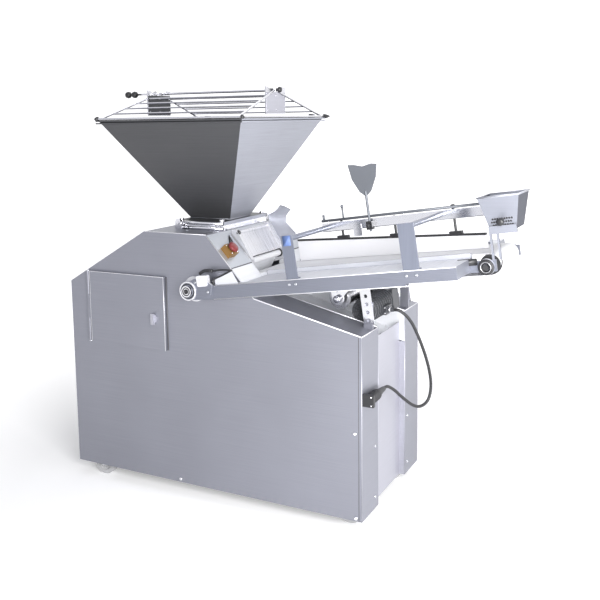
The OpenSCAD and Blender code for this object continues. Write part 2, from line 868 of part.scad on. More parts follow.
// Welded grid like a hipped roof, hung on its far rod
module hopper_guard() color("gainsboro") {
    x0 = mouth[0];
    x1 = mouth[2];
    r0 = x0 + guard_ridge_inset;
    r1 = x1 - guard_ridge_inset;
    ridge_z = guard_z + guard_rise;
    rod_x(-guard_half, guard_z, x0 - guard_rod_r, x1 + guard_rod_r, guard_rod_r);
    rod_x(guard_hinge_y, guard_z, x0 - guard_rod_r, x1 + guard_rod_r, guard_rod_r);
    rod_x(0, ridge_z, r0, r1, guard_rod_r);
    for (x = [x0, x1])
        rod_y(x, guard_z, -guard_half, guard_hinge_y, guard_hip_r);
    for (end = [[x0 + guard_hip_inset, r0], [x1 - guard_hip_inset, r1]]) {
        for (y = [-guard_half, guard_hinge_y])
            rod([end[0], y, guard_z], [end[1], sign(y) * guard_rod_r, ridge_z], guard_hip_r);
        translate([end[1] - guard_boss / 2, -guard_boss / 2, ridge_z - guard_boss / 2]) cube(guard_boss);
        translate([end[1] - guard_plate_t / 2, 0, ridge_z]) rotate([90, 0, 90]) linear_extrude(guard_plate_t)
            difference() {
                translate([-guard_plate_w / 2, -guard_plate_drop])
                    square([guard_plate_w, guard_plate_drop + guard_ear_h]);
                translate([-guard_plate_w / 2 + guard_ear_w, guard_boss / 2])
                    square([guard_plate_w - 2 * guard_ear_w, guard_ear_h]);
            }
    }
    for (i = [1:guard_rows - 1], y = [-guard_half, guard_hinge_y]) {
        t = i / guard_rows;
        inset = guard_hip_inset + (guard_ridge_inset - guard_hip_inset) * t;
        rod_x(y * (1 - t) + sign(y) * guard_rod_r * t, guard_z + guard_rise * t,
              x0 + inset, x1 - inset, guard_bar_r);
    }
}

// Dividing works
module chamber_block() color("gray") difference() {
    slot = rocker_half + ram_lug_gap + ram_lug_t + over;
    block([chamber_x, -cheek_in, chamber_z], [chamber_front, cheek_in, deck_h - sheet]);
    rod_y(drum_x, drum_z, -cheek_in - over, cheek_in + over, drum_r + gap);
    block([chamber_x - over, -ram_wid / 2, drum_z - ram_h / 2], [drum_x, ram_wid / 2, drum_z + ram_h / 2]);
    block([chamber_x - over, -knife_wid / 2, drum_z + ram_h / 2],
          [throat_x1 + over, knife_wid / 2, knife_z + knife_t + gap]);
    block([throat_x0, -throat_wid / 2, drum_z], [throat_x1, throat_wid / 2, deck_h]);
    block([chamber_x - over, -slot, chamber_z - over], [ram_pin_x + ram_stroke + rocker_t, slot, drum_z]);
}
module ram() color("silver") {
    lug_in = rocker_half + ram_lug_gap;
    lug_r = ram_pin_r * 1.8;
    block([ram_front - ram_len, -ram_wid / 2 + gap, drum_z - ram_h / 2 + gap],
          [ram_front, ram_wid / 2 - gap, drum_z + ram_h / 2 - gap]);
    both() across(lug_in, lug_in + ram_lug_t) translate([ram_pin_x, ram_pin_z]) {
        circle(lug_r);
        translate([-lug_r, 0]) square([lug_r * 2, ram_h / 2]);
    }
    rod_y(ram_pin_x, ram_pin_z, -lug_in - ram_lug_t, lug_in + ram_lug_t, ram_pin_r);
}
// Rocking lever, forked at the top round the ram's pin
module ram_rocker() color("dimgray") translate([rocker_x, 0, rocker_z]) rotate([0, -rocker_angle, 0]) {
    reach = rocker_arm / cos(rocker_angle);
    fork_half = ram_pin_r + gap * 2;
    across(-rocker_half, rocker_half) difference() {
        union() {
            circle(rocker_hub_r);
            translate([-rocker_t / 2, 0]) square([rocker_t, reach + ram_pin_r]);
        }
        circle(rocker_shaft_r + run_fit);
        translate([-fork_half, reach - ram_pin_r * 2]) square([fork_half * 2, ram_pin_r * 4]);
    }
}
module ram_cylinder() color("dimgray") difference() {
    union() {
        rod_x(0, cyl_z, cyl_x, cyl_x + cyl_len, cyl_r);
        for (x = [cyl_x + cyl_leg_t, cyl_x + cyl_len - cyl_leg_t * 2])
            block([x, -cyl_r, tank_top], [x + cyl_leg_t, cyl_r, cyl_z]);
    }
    rod_x(0, cyl_z, cyl_x + cyl_leg_t, cyl_x + cyl_len + over, rod_r + run_fit);
}
module piston_rod() color("silver") {
    rod_x(0, cyl_z, cyl_x + cyl_leg_t * 2, rod_tip_x - rod_nose_r, rod_r);
    rod_y(rod_tip_x - rod_nose_r, cyl_z, -rocker_half, rocker_half, rod_nose_r);
}
module knife() color("lightgray")
    block([ram_front - throat_len, -knife_wid / 2 + gap, knife_z],
          [ram_front, knife_wid / 2 - gap, knife_z + knife_t]);
module measuring_drum() color("silver") {
    lever_y = cheek_out + lever_t / 2;
    difference() {
        rod_y(drum_x, drum_z, -drum_len / 2, drum_len / 2, drum_r);
        for (y = [-pocket_pitch / 2, pocket_pitch / 2])
            rod_x(y, drum_z, drum_x - drum_r - over, drum_x - drum_r + pocket_depth, pocket_r);
    }
    rod_y(drum_x, drum_z, -lever_y, lever_y + lever_t, drum_shaft_r);
    across(lever_y, lever_y + lever_t) translate([drum_x, drum_z]) {
        circle(drum_shaft_r + lever_t / 2);
        translate([-lever_len, -lever_w / 2]) square([lever_len, lever_w]);
    }
}
module measuring_pistons() color("gray") for (y = [-pocket_pitch / 2, pocket_pitch / 2]) {
    seat_x = drum_x - drum_r + pocket_depth - gap;
    rod_x(y, drum_z, seat_x - piston_t, seat_x, pocket_r - run_fit);
}
module cheek_shape() polygon([
    [chamber_x / 2, chamber_z], [drum_x - drum_r / 2, drum_z - drum_r * 1.16],
    [drum_x + drum_r * 0.76, drum_z - drum_r * 1.16],
    [discharge_x + discharge_boss, discharge_z - discharge_boss * 1.35],
    [discharge_x + discharge_boss, discharge_z + discharge_boss / 2],
    [cover_x + cover_knuckle_r * 2, cover_z], [cover_x + cover_knuckle_r, cover_z + cover_knuckle_r * 1.5],
    [head_open_x + sheet, cover_z + cover_knuckle_r * 1.5],
    [head_open_x + sheet, front_slope(head_open_x) - sheet * 2],
    [chamber_front, deck_h - sheet * 4], [chamber_x / 2, deck_h - sheet * 4]]);
module head_cheeks() color("whitesmoke") {
    both() difference() {
        across(-cheek_out, -cheek_in) cheek_shape();
        rod_y(drum_x, drum_z, -cheek_out - over, -cheek_in + over, drum_shaft_r + run_fit);
        rod_y(discharge_x, discharge_z, -cheek_out - over, -cheek_in + over, discharge_shaft_r + run_fit);
    }
    rod_y(cover_x, cover_z, -cheek_out, cheek_out, cover_pin_r);
}
module drum_cover() color("whitesmoke") across(-cheek_in + cover_side_gap, cheek_in - cover_side_gap)
    translate([cover_x, cover_z]) difference() {
        union() {
            circle(cover_knuckle_r);
            rotate(cover_angle) square([cover_len, cover_t]);
        }
        circle(cover_pin_r + run_fit);
    }
module handle_plate() color("silver") across(cheek_out, cheek_out + sheet)
    polygon([for (p = handle_shares) [handle_x + handle_len * p[0], handle_z + handle_h * p[1]]]);
module discharge_roller() color("white") {
    rod_y(discharge_x, discharge_z, -cheek_in + cover_side_gap, cheek_in - cover_side_gap, discharge_r);
    rod_y(discharge_x, discharge_z, -cheek_out, cheek_out, discharge_shaft_r);
}
module hydraulic_tank() color("dimgray")
    translate([tank_x, tank_y, frame_z + frame_tube]) cube([tank_len, tank_wid, tank_h]);
module pump_motor() color("dimgray") {
    rod_z(pump_x, pump_y, tank_top, tank_top + pump_h, pump_r);
    for (i = [1:pump_fins]) {
        fin_z = tank_top + i * pump_h / (pump_fins + 1);
        rod_z(pump_x, pump_y, fin_z, fin_z + pump_fin_t, pump_fin_r);
    }
}
module pivot_hubs() color("whitesmoke") on_conveyor() both() {
    cap_y = -arm_out - hub_len - gap;
    rod_y(pivot_u, 0, -half_wid - spindle_flange_t, -half_wid, spindle_flange_r);
    rod_y(pivot_u, 0, -arm_out + arm_t + gap, -half_wid, spindle_collar_r);
    rod_y(pivot_u, 0, cap_y, -half_wid, spindle_r);
    rod_y(pivot_u, 0, cap_y - spindle_cap_t, cap_y, spindle_cap_r);
}

// Conveyor
module side_channel() on_conveyor() difference() {
    bearing_y = -takeup_y - takeup_t - bearing_t;
    union() {
        across(-arm_out, -arm_out + arm_t) {
            translate([pivot_u, 0]) circle(hub_r);
            polygon([
                [pivot_u, -hub_r], [arm_neck_u, arm_low], [arm_step_u, arm_low],
                [arm_step_u, arm_low + arm_step], [arm_len, arm_low + arm_step], [arm_len, arm_top],
                [pivot_u, arm_top]]);
        }
        rod_y(pivot_u, 0, -arm_out - hub_len, -arm_out + arm_t, hub_r);
        across(-arm_out - hub_len * 2 / 3, -arm_out)
            polygon([for (p = hub_block_shares) [pivot_u + hub_block_len * p[0], hub_r * p[1]]]);
        block([flange_u, -arm_out, arm_top - arm_t], [arm_len, -arm_out + flange_lip, arm_top]);
        block([wing_u, -arm_out, arm_top - arm_t], [arm_len, -bed_half, arm_top]);
        block([wing_u, -bed_half - lip_t, arm_top - arm_t], [arm_len, -bed_half, arm_top + lip_h]);
        block([arm_neck_u, -arm_out, arm_low], [arm_step_u, -arm_out + low_lip, arm_low + arm_t]);
        block([arm_len - arm_t, -arm_out, arm_low + arm_step], [arm_len, -takeup_y, arm_top]);
        block([arm_len - takeup_back, -takeup_y - takeup_t, takeup_low],
              [head_u + takeup_reach, -takeup_y, takeup_top]);
        rod_y(head_u, roller_w, bearing_y, -takeup_y, bearing_r);
    }
    rod_y(pivot_u, 0, -arm_out - hub_len - over, -arm_out + arm_t + over, spindle_r + run_fit);
    rod_y(head_u, roller_w, bearing_y - over, -takeup_y + over, shaft_r + run_fit);
}
module conveyor_side_near() color("slategray") side_channel();
module conveyor_side_far() color("slategray") far() side_channel();
module slider_bed() color("silver") on_conveyor() {
    arm_end = tail_u - tail_arm_back + tail_arm_len;
    block([bed_u0, -bed_half + lip_t, bed_top - bed_t], [bed_u1, bed_half - lip_t, bed_top]);
    both() difference() {
        union() {
            block([tail_u - tail_arm_back, -bed_half, tail_arm_low], [arm_end, -bed_half + lip_t, bed_top]);
            block([arm_end, -bed_half, bed_top - bed_lip], [arm_len - lip_t, -bed_half + lip_t, bed_top]);
        }
        rod_y(tail_u, roller_w, -bed_half - over, -bed_half + lip_t + over, shaft_r + run_fit);
    }
}
module roller(u, w, r, axle_half, axle) on_conveyor() {
    rod_y(u, w, -belt_w / 2, belt_w / 2, r);
    rod_y(u, w, -axle_half, axle_half, axle);
}
module head_roller() color("black")
    roller(head_u, roller_w, roller_r, takeup_y + takeup_t + bearing_t * 2, shaft_r);
module tail_roller() color("silver") roller(tail_u, roller_w, roller_r, bed_half, shaft_r);
module return_roller() color("silver")
    roller(return_u, return_w, return_r, hanger_y + hanger_t * 3, return_shaft_r);
module hangers() color("whitesmoke") on_conveyor() both() difference() {
    top = arm_top - arm_t;
    across(-hanger_y - hanger_t, -hanger_y) {
        stadium([return_u, arm_low], [return_u, return_w], hanger_r);
        translate([return_u - hanger_r, arm_low]) square([hanger_r * 2, top - arm_low]);
        strip([return_u, return_w + stay_t / 2], [stay_u, top - stay_t], stay_t);
        translate([stay_u - stay_t, top - stay_t * 2]) square([stay_t * 2, stay_t * 2]);
    }
    rod_y(return_u, return_w, -hanger_y - hanger_t - over, -hanger_y + over, return_shaft_r + run_fit);
}
module conveyor_belt() color("white") on_conveyor() across(-belt_w / 2, belt_w / 2) difference() {
    stadium([tail_u, roller_w], [head_u, roller_w], belt_out);
    stadium([tail_u, roller_w], [head_u, roller_w], belt_in);
}
// Motor hung on the chain guard, with a terminal box and gland for the power cord
module conveyor_motor() color("dimgray") {
    pitch = (motor_y1 - motor_y0) / (fin_count + 1);
    on_conveyor() translate([motor_u, 0, -motor_drop]) {
        rod_y(0, 0, motor_y0, motor_y1, motor_r);
        for (i = [1:fin_count])
            rod_y(0, 0, motor_y0 + i * pitch, motor_y0 + i * pitch + fin_t, motor_r + fin_h);
        rod_y(0, 0, motor_y0 - fan_cover_t, motor_y0, motor_r * fan_share);
        block([-gearbox_len / 2, motor_y1, -gearbox_h / 2],
              [gearbox_len / 2, motor_y1 + gearbox_wid, gearbox_h / 2]);
        rod_y(0, 0, motor_y1 + gearbox_wid, chain_guard_y, output_r);
    }
    translate(cord_start - [gland_len, 0, 0]) {
        rotate([0, 90, 0]) cylinder(h = gland_len, r1 = gland_r, r2 = cord_r + gland_wall);
        translate([-terminal_len, -terminal_wid / 2, -terminal_h / 2])
            cube([terminal_len, terminal_wid, terminal_h]);
    }
}
module chain_guard() color("silver") on_conveyor() difference() {
    union() {
        across(chain_guard_y, chain_guard_y + chain_guard_t) hull() {
            translate([motor_u, -motor_drop]) circle(chain_guard_r, $fn = 32);
            translate([return_u, return_w]) circle(chain_guard_r, $fn = 32);
        }
        for (u = [chain_tab_u, chain_tab_u + chain_tab_pitch]) {
            line_w = -motor_drop + (u - motor_u) * (return_w + motor_drop) / (return_u - motor_u);
            block([u, chain_guard_y + chain_guard_t / 3, line_w],
                  [u + chain_tab_w, chain_guard_y + chain_guard_t * 2 / 3, arm_top - arm_t]);
        }
    }
    rod_y(return_u, return_w, chain_guard_y - over, chain_guard_y + chain_guard_t + over, shaft_hole_r);
}
module tilt_straps() color("whitesmoke") on_conveyor() both() difference() {
    top = arm_top - arm_t;
    union() {
        block([strap_u - strap_w / 2, -strap_y - strap_t, strap_low], [strap_u + strap_w / 2, -strap_y, top]);
        block([strap_u - strap_w / 2, -strap_y - strap_foot, top - strap_t],
              [strap_u + strap_w / 2, -strap_y, top]);
    }
    for (i = [0:strap_hole_count - 1])
        rod_y(strap_u, strap_hole_w - i * strap_hole_pitch,
              -strap_y - strap_t - over, -strap_y + over, strap_hole_r);
}

// Guides over the belt
module guide_post(u, wide) {
    back = -arm_out + arm_t;
    block([u - wide / 2, back, arm_top], [u + wide / 2, back + post_t, arm_top + post_h]);
    block([u - wide / 2, back, arm_top], [u + wide / 2, back + post_foot, arm_top + post_foot_t]);
    rod_y(u, cross_w, back, rail_y, cross_r);
}
module guide_posts() color("lightsteelblue") on_conveyor() {
    guide_post(first_post_u, first_post_w);
    guide_post(second_post_u, second_post_w);
}
module guide_rail() color("whitesmoke") on_conveyor() {
    mid = rail_y + rail_t / 2;
    rod_w = rail_low + rail_h + thin_rod_rise;
    block([rail_u0, rail_y, rail_low], [rail_u1, rail_y + rail_t, rail_low + rail_h]);
    rod_x(mid, rod_w, rail_u0, rail_u1, thin_rod_r);
    rod_z(rail_u0 + thin_rod_r * 2, mid, rod_w, rod_w + thin_rod_up, thin_rod_r * 0.9);
    for (s = stub_shares)
        rod_z(rail_u0 + (rail_u1 - rail_u0) * s, mid, rail_low + rail_h / 2, rod_w, rail_t / 3);
    rod_z(ball_u, mid, rod_w, rod_w + ball_pin_h, ball_pin_r);
    translate([ball_u, mid, rod_w + ball_pin_h]) sphere(ball_r);
    block([tab_u - tab_w / 2, rail_y - sheet, rail_low + rail_h / 2 - tab_h],
          [tab_u + tab_w / 2, rail_y, rail_low + rail_h / 2]);
}
function board_at(share) =
    [board_u0 + (board_u1 - board_u0) * share, board_y0 + (board_y1 - board_y0) * share];
module rail_clamps() color("black") on_conveyor() {
    for (s = hanger_shares) {
        p = board_at(s);
        difference() {
            block([p[0] - clamp_wid / 2, rail_y + rail_t, clamp_low],
                  [p[0] + clamp_wid / 2, p[1] + clamp_wall, clamp_low + clamp_h]);
            rod_z(p[0], p[1], clamp_low - over, clamp_low + clamp_h + over, hanger_rod_r + run_fit);
        }
    }
    difference() {
        block([paddle_u - paddle_clamp / 2, -paddle_clamp / 2, clamp_low - clamp_h],
              [paddle_u + paddle_clamp / 2, rail_y, clamp_low + clamp_h]);
        rod_z(paddle_u, 0, clamp_low - clamp_h - over, clamp_low + clamp_h + over, paddle_rod_r + run_fit);
    }
}
module along_board() on_conveyor() translate([board_u0, board_y0, 0]) rotate([0, 0, board_turn]) children();
module rounding_board() color("white") along_board() across(-board_t / 2, board_t / 2)
    polygon([[0, board_low], [board_len, board_low],
             [board_len, board_low + board_end_h], [0, board_low + board_h]]);
module board_hangers() color("black") along_board() {
    high = board_low + board_h;
    low = board_low + board_end_h;
    across(-edge_t / 2, edge_t / 2)
        polygon([[0, high], [board_len, low], [board_len, low + edge_h], [0, high + edge_h]]);
    for (s = hanger_shares) {
        foot_w = high + (low - high) * s + edge_h / 2;
        block([board_len * s - hanger_foot_len / 2, -hanger_foot_wid / 2, foot_w],
              [board_len * s + hanger_foot_len / 2, hanger_foot_wid / 2, foot_w + hanger_foot_h]);
        rod_z(board_len * s, 0, foot_w, hanger_top, hanger_rod_r);
    }
}
module paddle() color("dimgray") on_conveyor() translate([paddle_u, 0, 0]) {
    rod_z(0, 0, clamp_low - clamp_h * 3 / 2, paddle_low + paddle_h / 6, paddle_rod_r);
    across(-paddle_t / 2, paddle_t / 2)
        polygon([for (p = paddle_shares) [paddle_w * p[0], paddle_low + paddle_h * p[1]]]);
}

// Flour box
module flour_box() color("gainsboro") on_conveyor() {
    leg_y = -takeup_y - takeup_t;
    plate_low = flour_low - flour_plate_drop;
    difference() {
        funnel(flour_floor, flour_low, flour_mouth, flour_low + flour_h);
        funnel(shrink(flour_floor, flour_wall), flour_low + flour_wall,
               shrink(flour_mouth, flour_wall), flour_low + flour_h + gap);
        rod_y(flour_u, brush_w, flour_mouth[1] - over, flour_mouth[3] + over, brush_shaft_r + run_fit);
        for (i = [-2:2], j = [-3:3])
            rod_z(flour_u + i * sieve_pitch, flour_y + j * sieve_pitch, flour_low - over,
                  flour_low + flour_wall + over, sieve_r);
    }
    for (u = [flour_leg_u, flour_leg_u + flour_leg_pitch])
        block([u - flour_leg_w / 2, leg_y, takeup_top],
              [u + flour_leg_w / 2, -takeup_y, plate_low + flour_plate_h]);
    block([flour_leg_u - flour_leg_w / 2, leg_y, plate_low],
          [flour_u + flour_len / 3, leg_y + flour_plate_t, plate_low + flour_plate_h]);
}
module flour_brush() color("sienna") on_conveyor() {
    crank_y = flour_mouth[1] - brush_crank_t;
    rod_y(flour_u, brush_w, crank_y, flour_mouth[3] + over, brush_shaft_r);
    rod_y(flour_u, brush_w, crank_y, crank_y + brush_crank_t, brush_crank_r);
    for (i = [0:brush_blades - 1])
        translate([flour_u, 0, brush_w]) rotate([0, i * 360 / brush_blades, 0])
            block([0, flour_floor[1] + flour_taper / 2, -brush_blade_t / 2],
                  [brush_r, flour_floor[3] - flour_taper / 2, brush_blade_t / 2]);
}

// Socket, plug and cord
module power_socket() color("gray")
    block([half_len, socket_y0, socket_z - socket_h / 2],
          [half_len + socket_d, socket_y1, socket_z + socket_h / 2]);
module cord_plug() color("black") translate([plug_x, socket_y1, socket_z]) rotate([-90, 0, 0]) {
    cylinder(h = plug_grip, r = plug_r);
    translate([0, 0, plug_grip])
        cylinder(h = plug_end - socket_y1 - plug_grip, r1 = plug_shoulder_r, r2 = plug_neck_r);
}
cord_path = concat([cord_start], cord_route, [cord_end]);
function unit(v) = v / norm(v);
function cord_way(i) = unit(cord_path[min(i + 1, len(cord_path) - 1)] - cord_path[max(i - 1, 0)]);
// A direction that the cord never runs along, so that its rings don't twist
cord_up = unit([1, 0, 1]);
function cord_side(i) = unit(cross(cord_way(i), cord_up));
module power_cord() color("black") {
    last = len(cord_path) - 1;
    turn = 360 / cord_sides;
    polyhedron(
        [for (i = [0:last]) let(a = cord_side(i), b = cross(cord_way(i), a))
            for (k = [0:cord_sides - 1])
                cord_path[i] + cord_r * (cos(k * turn) * a + sin(k * turn) * b)],
        concat(
            [[for (k = [cord_sides - 1:-1:0]) k]],
            [for (i = [0:last - 1], k = [0:cord_sides - 1])
                let(p = i * cord_sides, q = (k + 1) % cord_sides)
                each [[p + k, p + q, p + cord_sides + q], [p + k, p + cord_sides + q, p + cord_sides + k]]],
            [[for (k = [0:cord_sides - 1]) last * cord_sides + k]]));
}

base_frame();
side_panel_near();
side_panel_far();
rear_panel();
top_cover();
front_plate();
chute_trough();
end_panel();
access_door();
door_latch();
power_socket();
rear_caster_forks();
front_fork_near();
front_fork_far();
rear_wheel_near();
rear_wheel_far();
front_wheel_near();
front_wheel_far();
estop_base();
estop_button();
hopper();
throat_frame();
clamp_bolts();
hopper_guard();
chamber_block();
ram();
ram_rocker();
ram_cylinder();
piston_rod();
knife();
measuring_drum();
measuring_pistons();
head_cheeks();
drum_cover();
handle_plate();
discharge_roller();
hydraulic_tank();
pump_motor();
pivot_hubs();
conveyor_side_near();
conveyor_side_far();
slider_bed();
head_roller();
tail_roller();
return_roller();
hangers();
conveyor_belt();
conveyor_motor();
chain_guard();
tilt_straps();
guide_posts();
guide_rail();
rail_clamps();
rounding_board();
board_hangers();
paddle();
flour_box();
flour_brush();
power_cord();
cord_plug();
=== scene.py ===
"""Looks of the dough divider: finishes for its solids, the power cord, fasteners, knobs and trim, studio and camera."""
import math

import bmesh
import bpy
from mathutils import Matrix, Vector


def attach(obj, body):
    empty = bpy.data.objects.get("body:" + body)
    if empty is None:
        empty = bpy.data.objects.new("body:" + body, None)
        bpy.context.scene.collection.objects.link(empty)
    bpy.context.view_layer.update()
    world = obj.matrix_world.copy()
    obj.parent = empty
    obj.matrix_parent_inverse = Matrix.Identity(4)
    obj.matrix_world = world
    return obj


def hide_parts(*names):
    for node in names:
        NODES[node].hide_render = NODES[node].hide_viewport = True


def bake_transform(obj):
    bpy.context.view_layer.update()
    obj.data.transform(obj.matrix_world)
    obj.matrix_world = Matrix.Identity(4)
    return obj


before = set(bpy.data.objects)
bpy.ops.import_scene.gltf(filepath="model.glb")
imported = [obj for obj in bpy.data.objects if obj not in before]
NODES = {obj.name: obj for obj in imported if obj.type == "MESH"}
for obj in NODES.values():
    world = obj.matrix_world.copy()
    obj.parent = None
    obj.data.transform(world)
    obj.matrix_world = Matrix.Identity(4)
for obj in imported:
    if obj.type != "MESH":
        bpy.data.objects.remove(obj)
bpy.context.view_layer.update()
scene = bpy.context.scene
scene.view_settings.view_transform = "Standard"

# All lengths are metres: x from the rear to the discharge end, y from the near to the far side, z up
X, Y, Z = Vector((1, 0, 0)), Vector((0, 1, 0)), Vector((0, 0, 1))
SIDES = ((-1, "near"), (1, "far"))

# Conveyor frame: u along its centre line, w square to the belt
START_X, START_Z = -0.057, 0.863
TILT = math.radians(8.3)
ALONG = Vector((math.cos(TILT), 0, math.sin(TILT)))
SQUARE = Vector((-math.sin(TILT), 0, math.cos(TILT)))


def on_belt(u, y, w):
    """A place on the conveyor."""
    return Vector((START_X, y, START_Z)) + ALONG * u + SQUARE * w


def on_side(side, at):
    """A place on the conveyor, given for the far side, on its near (-1) or far (1) side."""
    u, y, w = at
    return on_belt(u, side * y, w)


# Camera

CAMERA_AT = Vector((1.7574, -2.9608, 1.5168))
AZIMUTH, ELEVATION, ROLL = math.radians(27.545), math.radians(7.488), math.radians(-0.831)
PICTURE = 600
FOCAL_PX = 829.32
CENTRE_PX = (287.22, 228.23)
SENSOR = 36.0


def make_camera():
    data = bpy.data.cameras.new("photo_camera")
    data.sensor_width = SENSOR
    data.lens = FOCAL_PX / PICTURE * SENSOR
    data.shift_x = (PICTURE / 2 - CENTRE_PX[0]) / PICTURE
    data.shift_y = (CENTRE_PX[1] - PICTURE / 2) / PICTURE
    back = Vector((math.sin(AZIMUTH) * math.cos(ELEVATION), -math.cos(AZIMUTH) * math.cos(ELEVATION),
                   math.sin(ELEVATION)))
    right = Z.cross(back).normalized()
    up = back.cross(right)
    c, s = math.cos(ROLL), math.sin(ROLL)
    axes = Matrix((c * right + s * up, -s * right + c * up, back)).transposed()
    camera = bpy.data.objects.new("photo_camera", data)
    camera.matrix_world = Matrix.Translation(CAMERA_AT) @ axes.to_4x4()
    scene.collection.objects.link(camera)
    scene.camera = camera


make_camera()


# Mesh helpers

def add_mesh(name, bm, smooth=True):
    mesh = bpy.data.meshes.new(name)
    bmesh.ops.recalc_face_normals(bm, faces=bm.faces)
    bm.to_mesh(mesh)
    bm.free()
    if smooth:
        mesh.polygons.foreach_set("use_smooth", [True] * len(mesh.polygons))
    piece = bpy.data.objects.new(name, mesh)
    scene.collection.objects.link(piece)
    return piece


def frame_of(axis):
    """Two directions square to an axis."""
    axis = axis.normalized()
    side = axis.cross(Z if abs(axis.z) < 0.9 else X).normalized()
    return side, axis.cross(side)


def around(side, other, count):
    """Directions evenly spaced round a circle."""
    return [side * math.cos(t) + other * math.sin(t) for t in (2 * math.pi * k / count for k in range(count))]


def skin(bm, rings):
    """Faces between each ring of points and the next."""
    for low, high in zip(rings, rings[1:]):
        for k in range(len(low)):
            q = (k + 1) % len(low)
            bm.faces.new((low[k], low[q], high[q], high[k]))


def close_ends(bm, rings):
    bm.faces.new(rings[0][::-1])
    bm.faces.new(rings[-1])


def lathe(bm, at, axis, profile, sides=24, closed=True):
    """Turns a profile of (distance along the axis, radius) about an axis through a point."""
    axis = axis.normalized()
    ways = around(*frame_of(axis), sides)
    rings = [[bm.verts.new(at + axis * along + way * radius) for way in ways] for along, radius in profile]
    skin(bm, rings)
    if closed:
        close_ends(bm, rings)


def sweep(bm, points, radius, sides=12):
    """Closed round bar along a line of points, with its rings kept from twisting."""
    points = [Vector(p) for p in points]
    last = len(points) - 1
    ways = [(points[min(i + 1, last)] - points[max(i - 1, 0)]).normalized() for i in range(last + 1)]
    side, _ = frame_of(ways[0])
    rings = []
    for p, way in zip(points, ways):
        side = (side - way * side.dot(way)).normalized()
        rings.append([bm.verts.new(p + out * radius) for out in around(side, way.cross(side), sides)])
    skin(bm, rings)
    close_ends(bm, rings)


def spline(points, steps):
    """Points along a smooth line through the given points."""
    points = [Vector(p) for p in points]
    padded = [points[0] * 2 - points[1], *points, points[-1] * 2 - points[-2]]
    out = []
    for p0, p1, p2, p3 in zip(padded, padded[1:], padded[2:], padded[3:]):
        for i in range(steps):
            t = i / steps
            out.append(0.5 * (2 * p1 + (p2 - p0) * t + (2 * p0 - 5 * p1 + 4 * p2 - p3) * t ** 2
                              + (3 * p1 - p0 - 3 * p2 + p3) * t ** 3))
    out.append(points[-1])
    return out


# Power cord, from the motor's gland round its loop to the plug

CORD_R, CORD_SIDES, CORD_STEPS = 0.006, 16, 6
CORD_ROUTE = [
    (0.684, -0.030, 0.790), (0.702, -0.030, 0.790), (0.724, -0.018, 0.772), (0.743, 0.000, 0.740),
    (0.757, 0.022, 0.695), (0.768, 0.046, 0.645), (0.777, 0.072, 0.590), (0.783, 0.095, 0.535),
    (0.785, 0.112, 0.485), (0.782, 0.121, 0.440), (0.775, 0.115, 0.405), (0.764, 0.095, 0.388),
    (0.751, 0.065, 0.387), (0.737, 0.033, 0.402), (0.723, 0.000, 0.428), (0.710, -0.035, 0.458),
    (0.699, -0.070, 0.488), (0.690, -0.105, 0.510), (0.687, -0.130, 0.516), (0.687, -0.150, 0.516),
]


def make_cord():
    path = spline(CORD_ROUTE, CORD_STEPS)
    bm = bmesh.new()
    sweep(bm, path, CORD_R, CORD_SIDES)
    cord = add_mesh("power_lead", bm)
    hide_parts("power_cord")
    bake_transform(cord)
    return cord


cord_piece = make_cord()


# Effects shared by the finishes

COLOUR, VALUE, VECTOR = "NodeSocketColor", "NodeSocketFloat", "NodeSocketVector"
GREY = (0.5, 0.5, 0.5, 1)
MIX_A, MIX_B, MIX_RESULT = 6, 7, 2  # the Mix node's colour sockets, by number because their names repeat


def new_group(name, inputs, outputs):
    group = bpy.data.node_groups.new(name, "ShaderNodeTree")
    for label, kind, value in inputs:
        socket = group.interface.new_socket(label, in_out="INPUT", socket_type=kind)
        socket.default_value = value
    for label, kind in outputs:
        group.interface.new_socket(label, in_out="OUTPUT", socket_type=kind)
    return group, group.nodes.new("NodeGroupInput"), group.nodes.new("NodeGroupOutput")


def wire(tree, a, b):
    tree.links.new(a, b)


def feed(tree, value, socket):
    """Gives a socket its value, from another socket or as a constant."""
    if isinstance(value, bpy.types.NodeSocket):
        wire(tree, value, socket)
    else:
        socket.default_value = value


def add_math(tree, operation, a, b):
    """A Math node whose inputs are sockets or numbers; returns its output."""
    node = tree.nodes.new("ShaderNodeMath")
    node.operation = operation
    feed(tree, a, node.inputs[0])
    feed(tree, b, node.inputs[1])
    return node.outputs[0]


def add_vector_math(tree, operation, a, b):
    """As add_math, on vectors; returns the node."""
    node = tree.nodes.new("ShaderNodeVectorMath")
    node.operation = operation
    feed(tree, a, node.inputs[0])
    feed(tree, b, node.inputs["Scale"] if operation == "SCALE" else node.inputs[1])
    return node


def add_noise(tree, vector, scale, detail, roughness=0.5):
    node = tree.nodes.new("ShaderNodeTexNoise")
    node.inputs["Detail"].default_value = detail
    node.inputs["Roughness"].default_value = roughness
    feed(tree, scale, node.inputs["Scale"])
    wire(tree, vector, node.inputs["Vector"])
    return node.outputs["Fac"]


def new_grain(name, pattern, tone, rough, rough_change):
    """A grain effect's group: its own pattern socket and the sockets that every grain has."""
    return new_group(
        name,
        [("Vector", VECTOR, (0, 0, 0)), pattern, ("Colour", COLOUR, GREY), ("Tone Change", VALUE, tone),
         ("Roughness", VALUE, rough), ("Roughness Change", VALUE, rough_change)],
        [("Colour", COLOUR), ("Roughness", VALUE), ("Height", VALUE)])


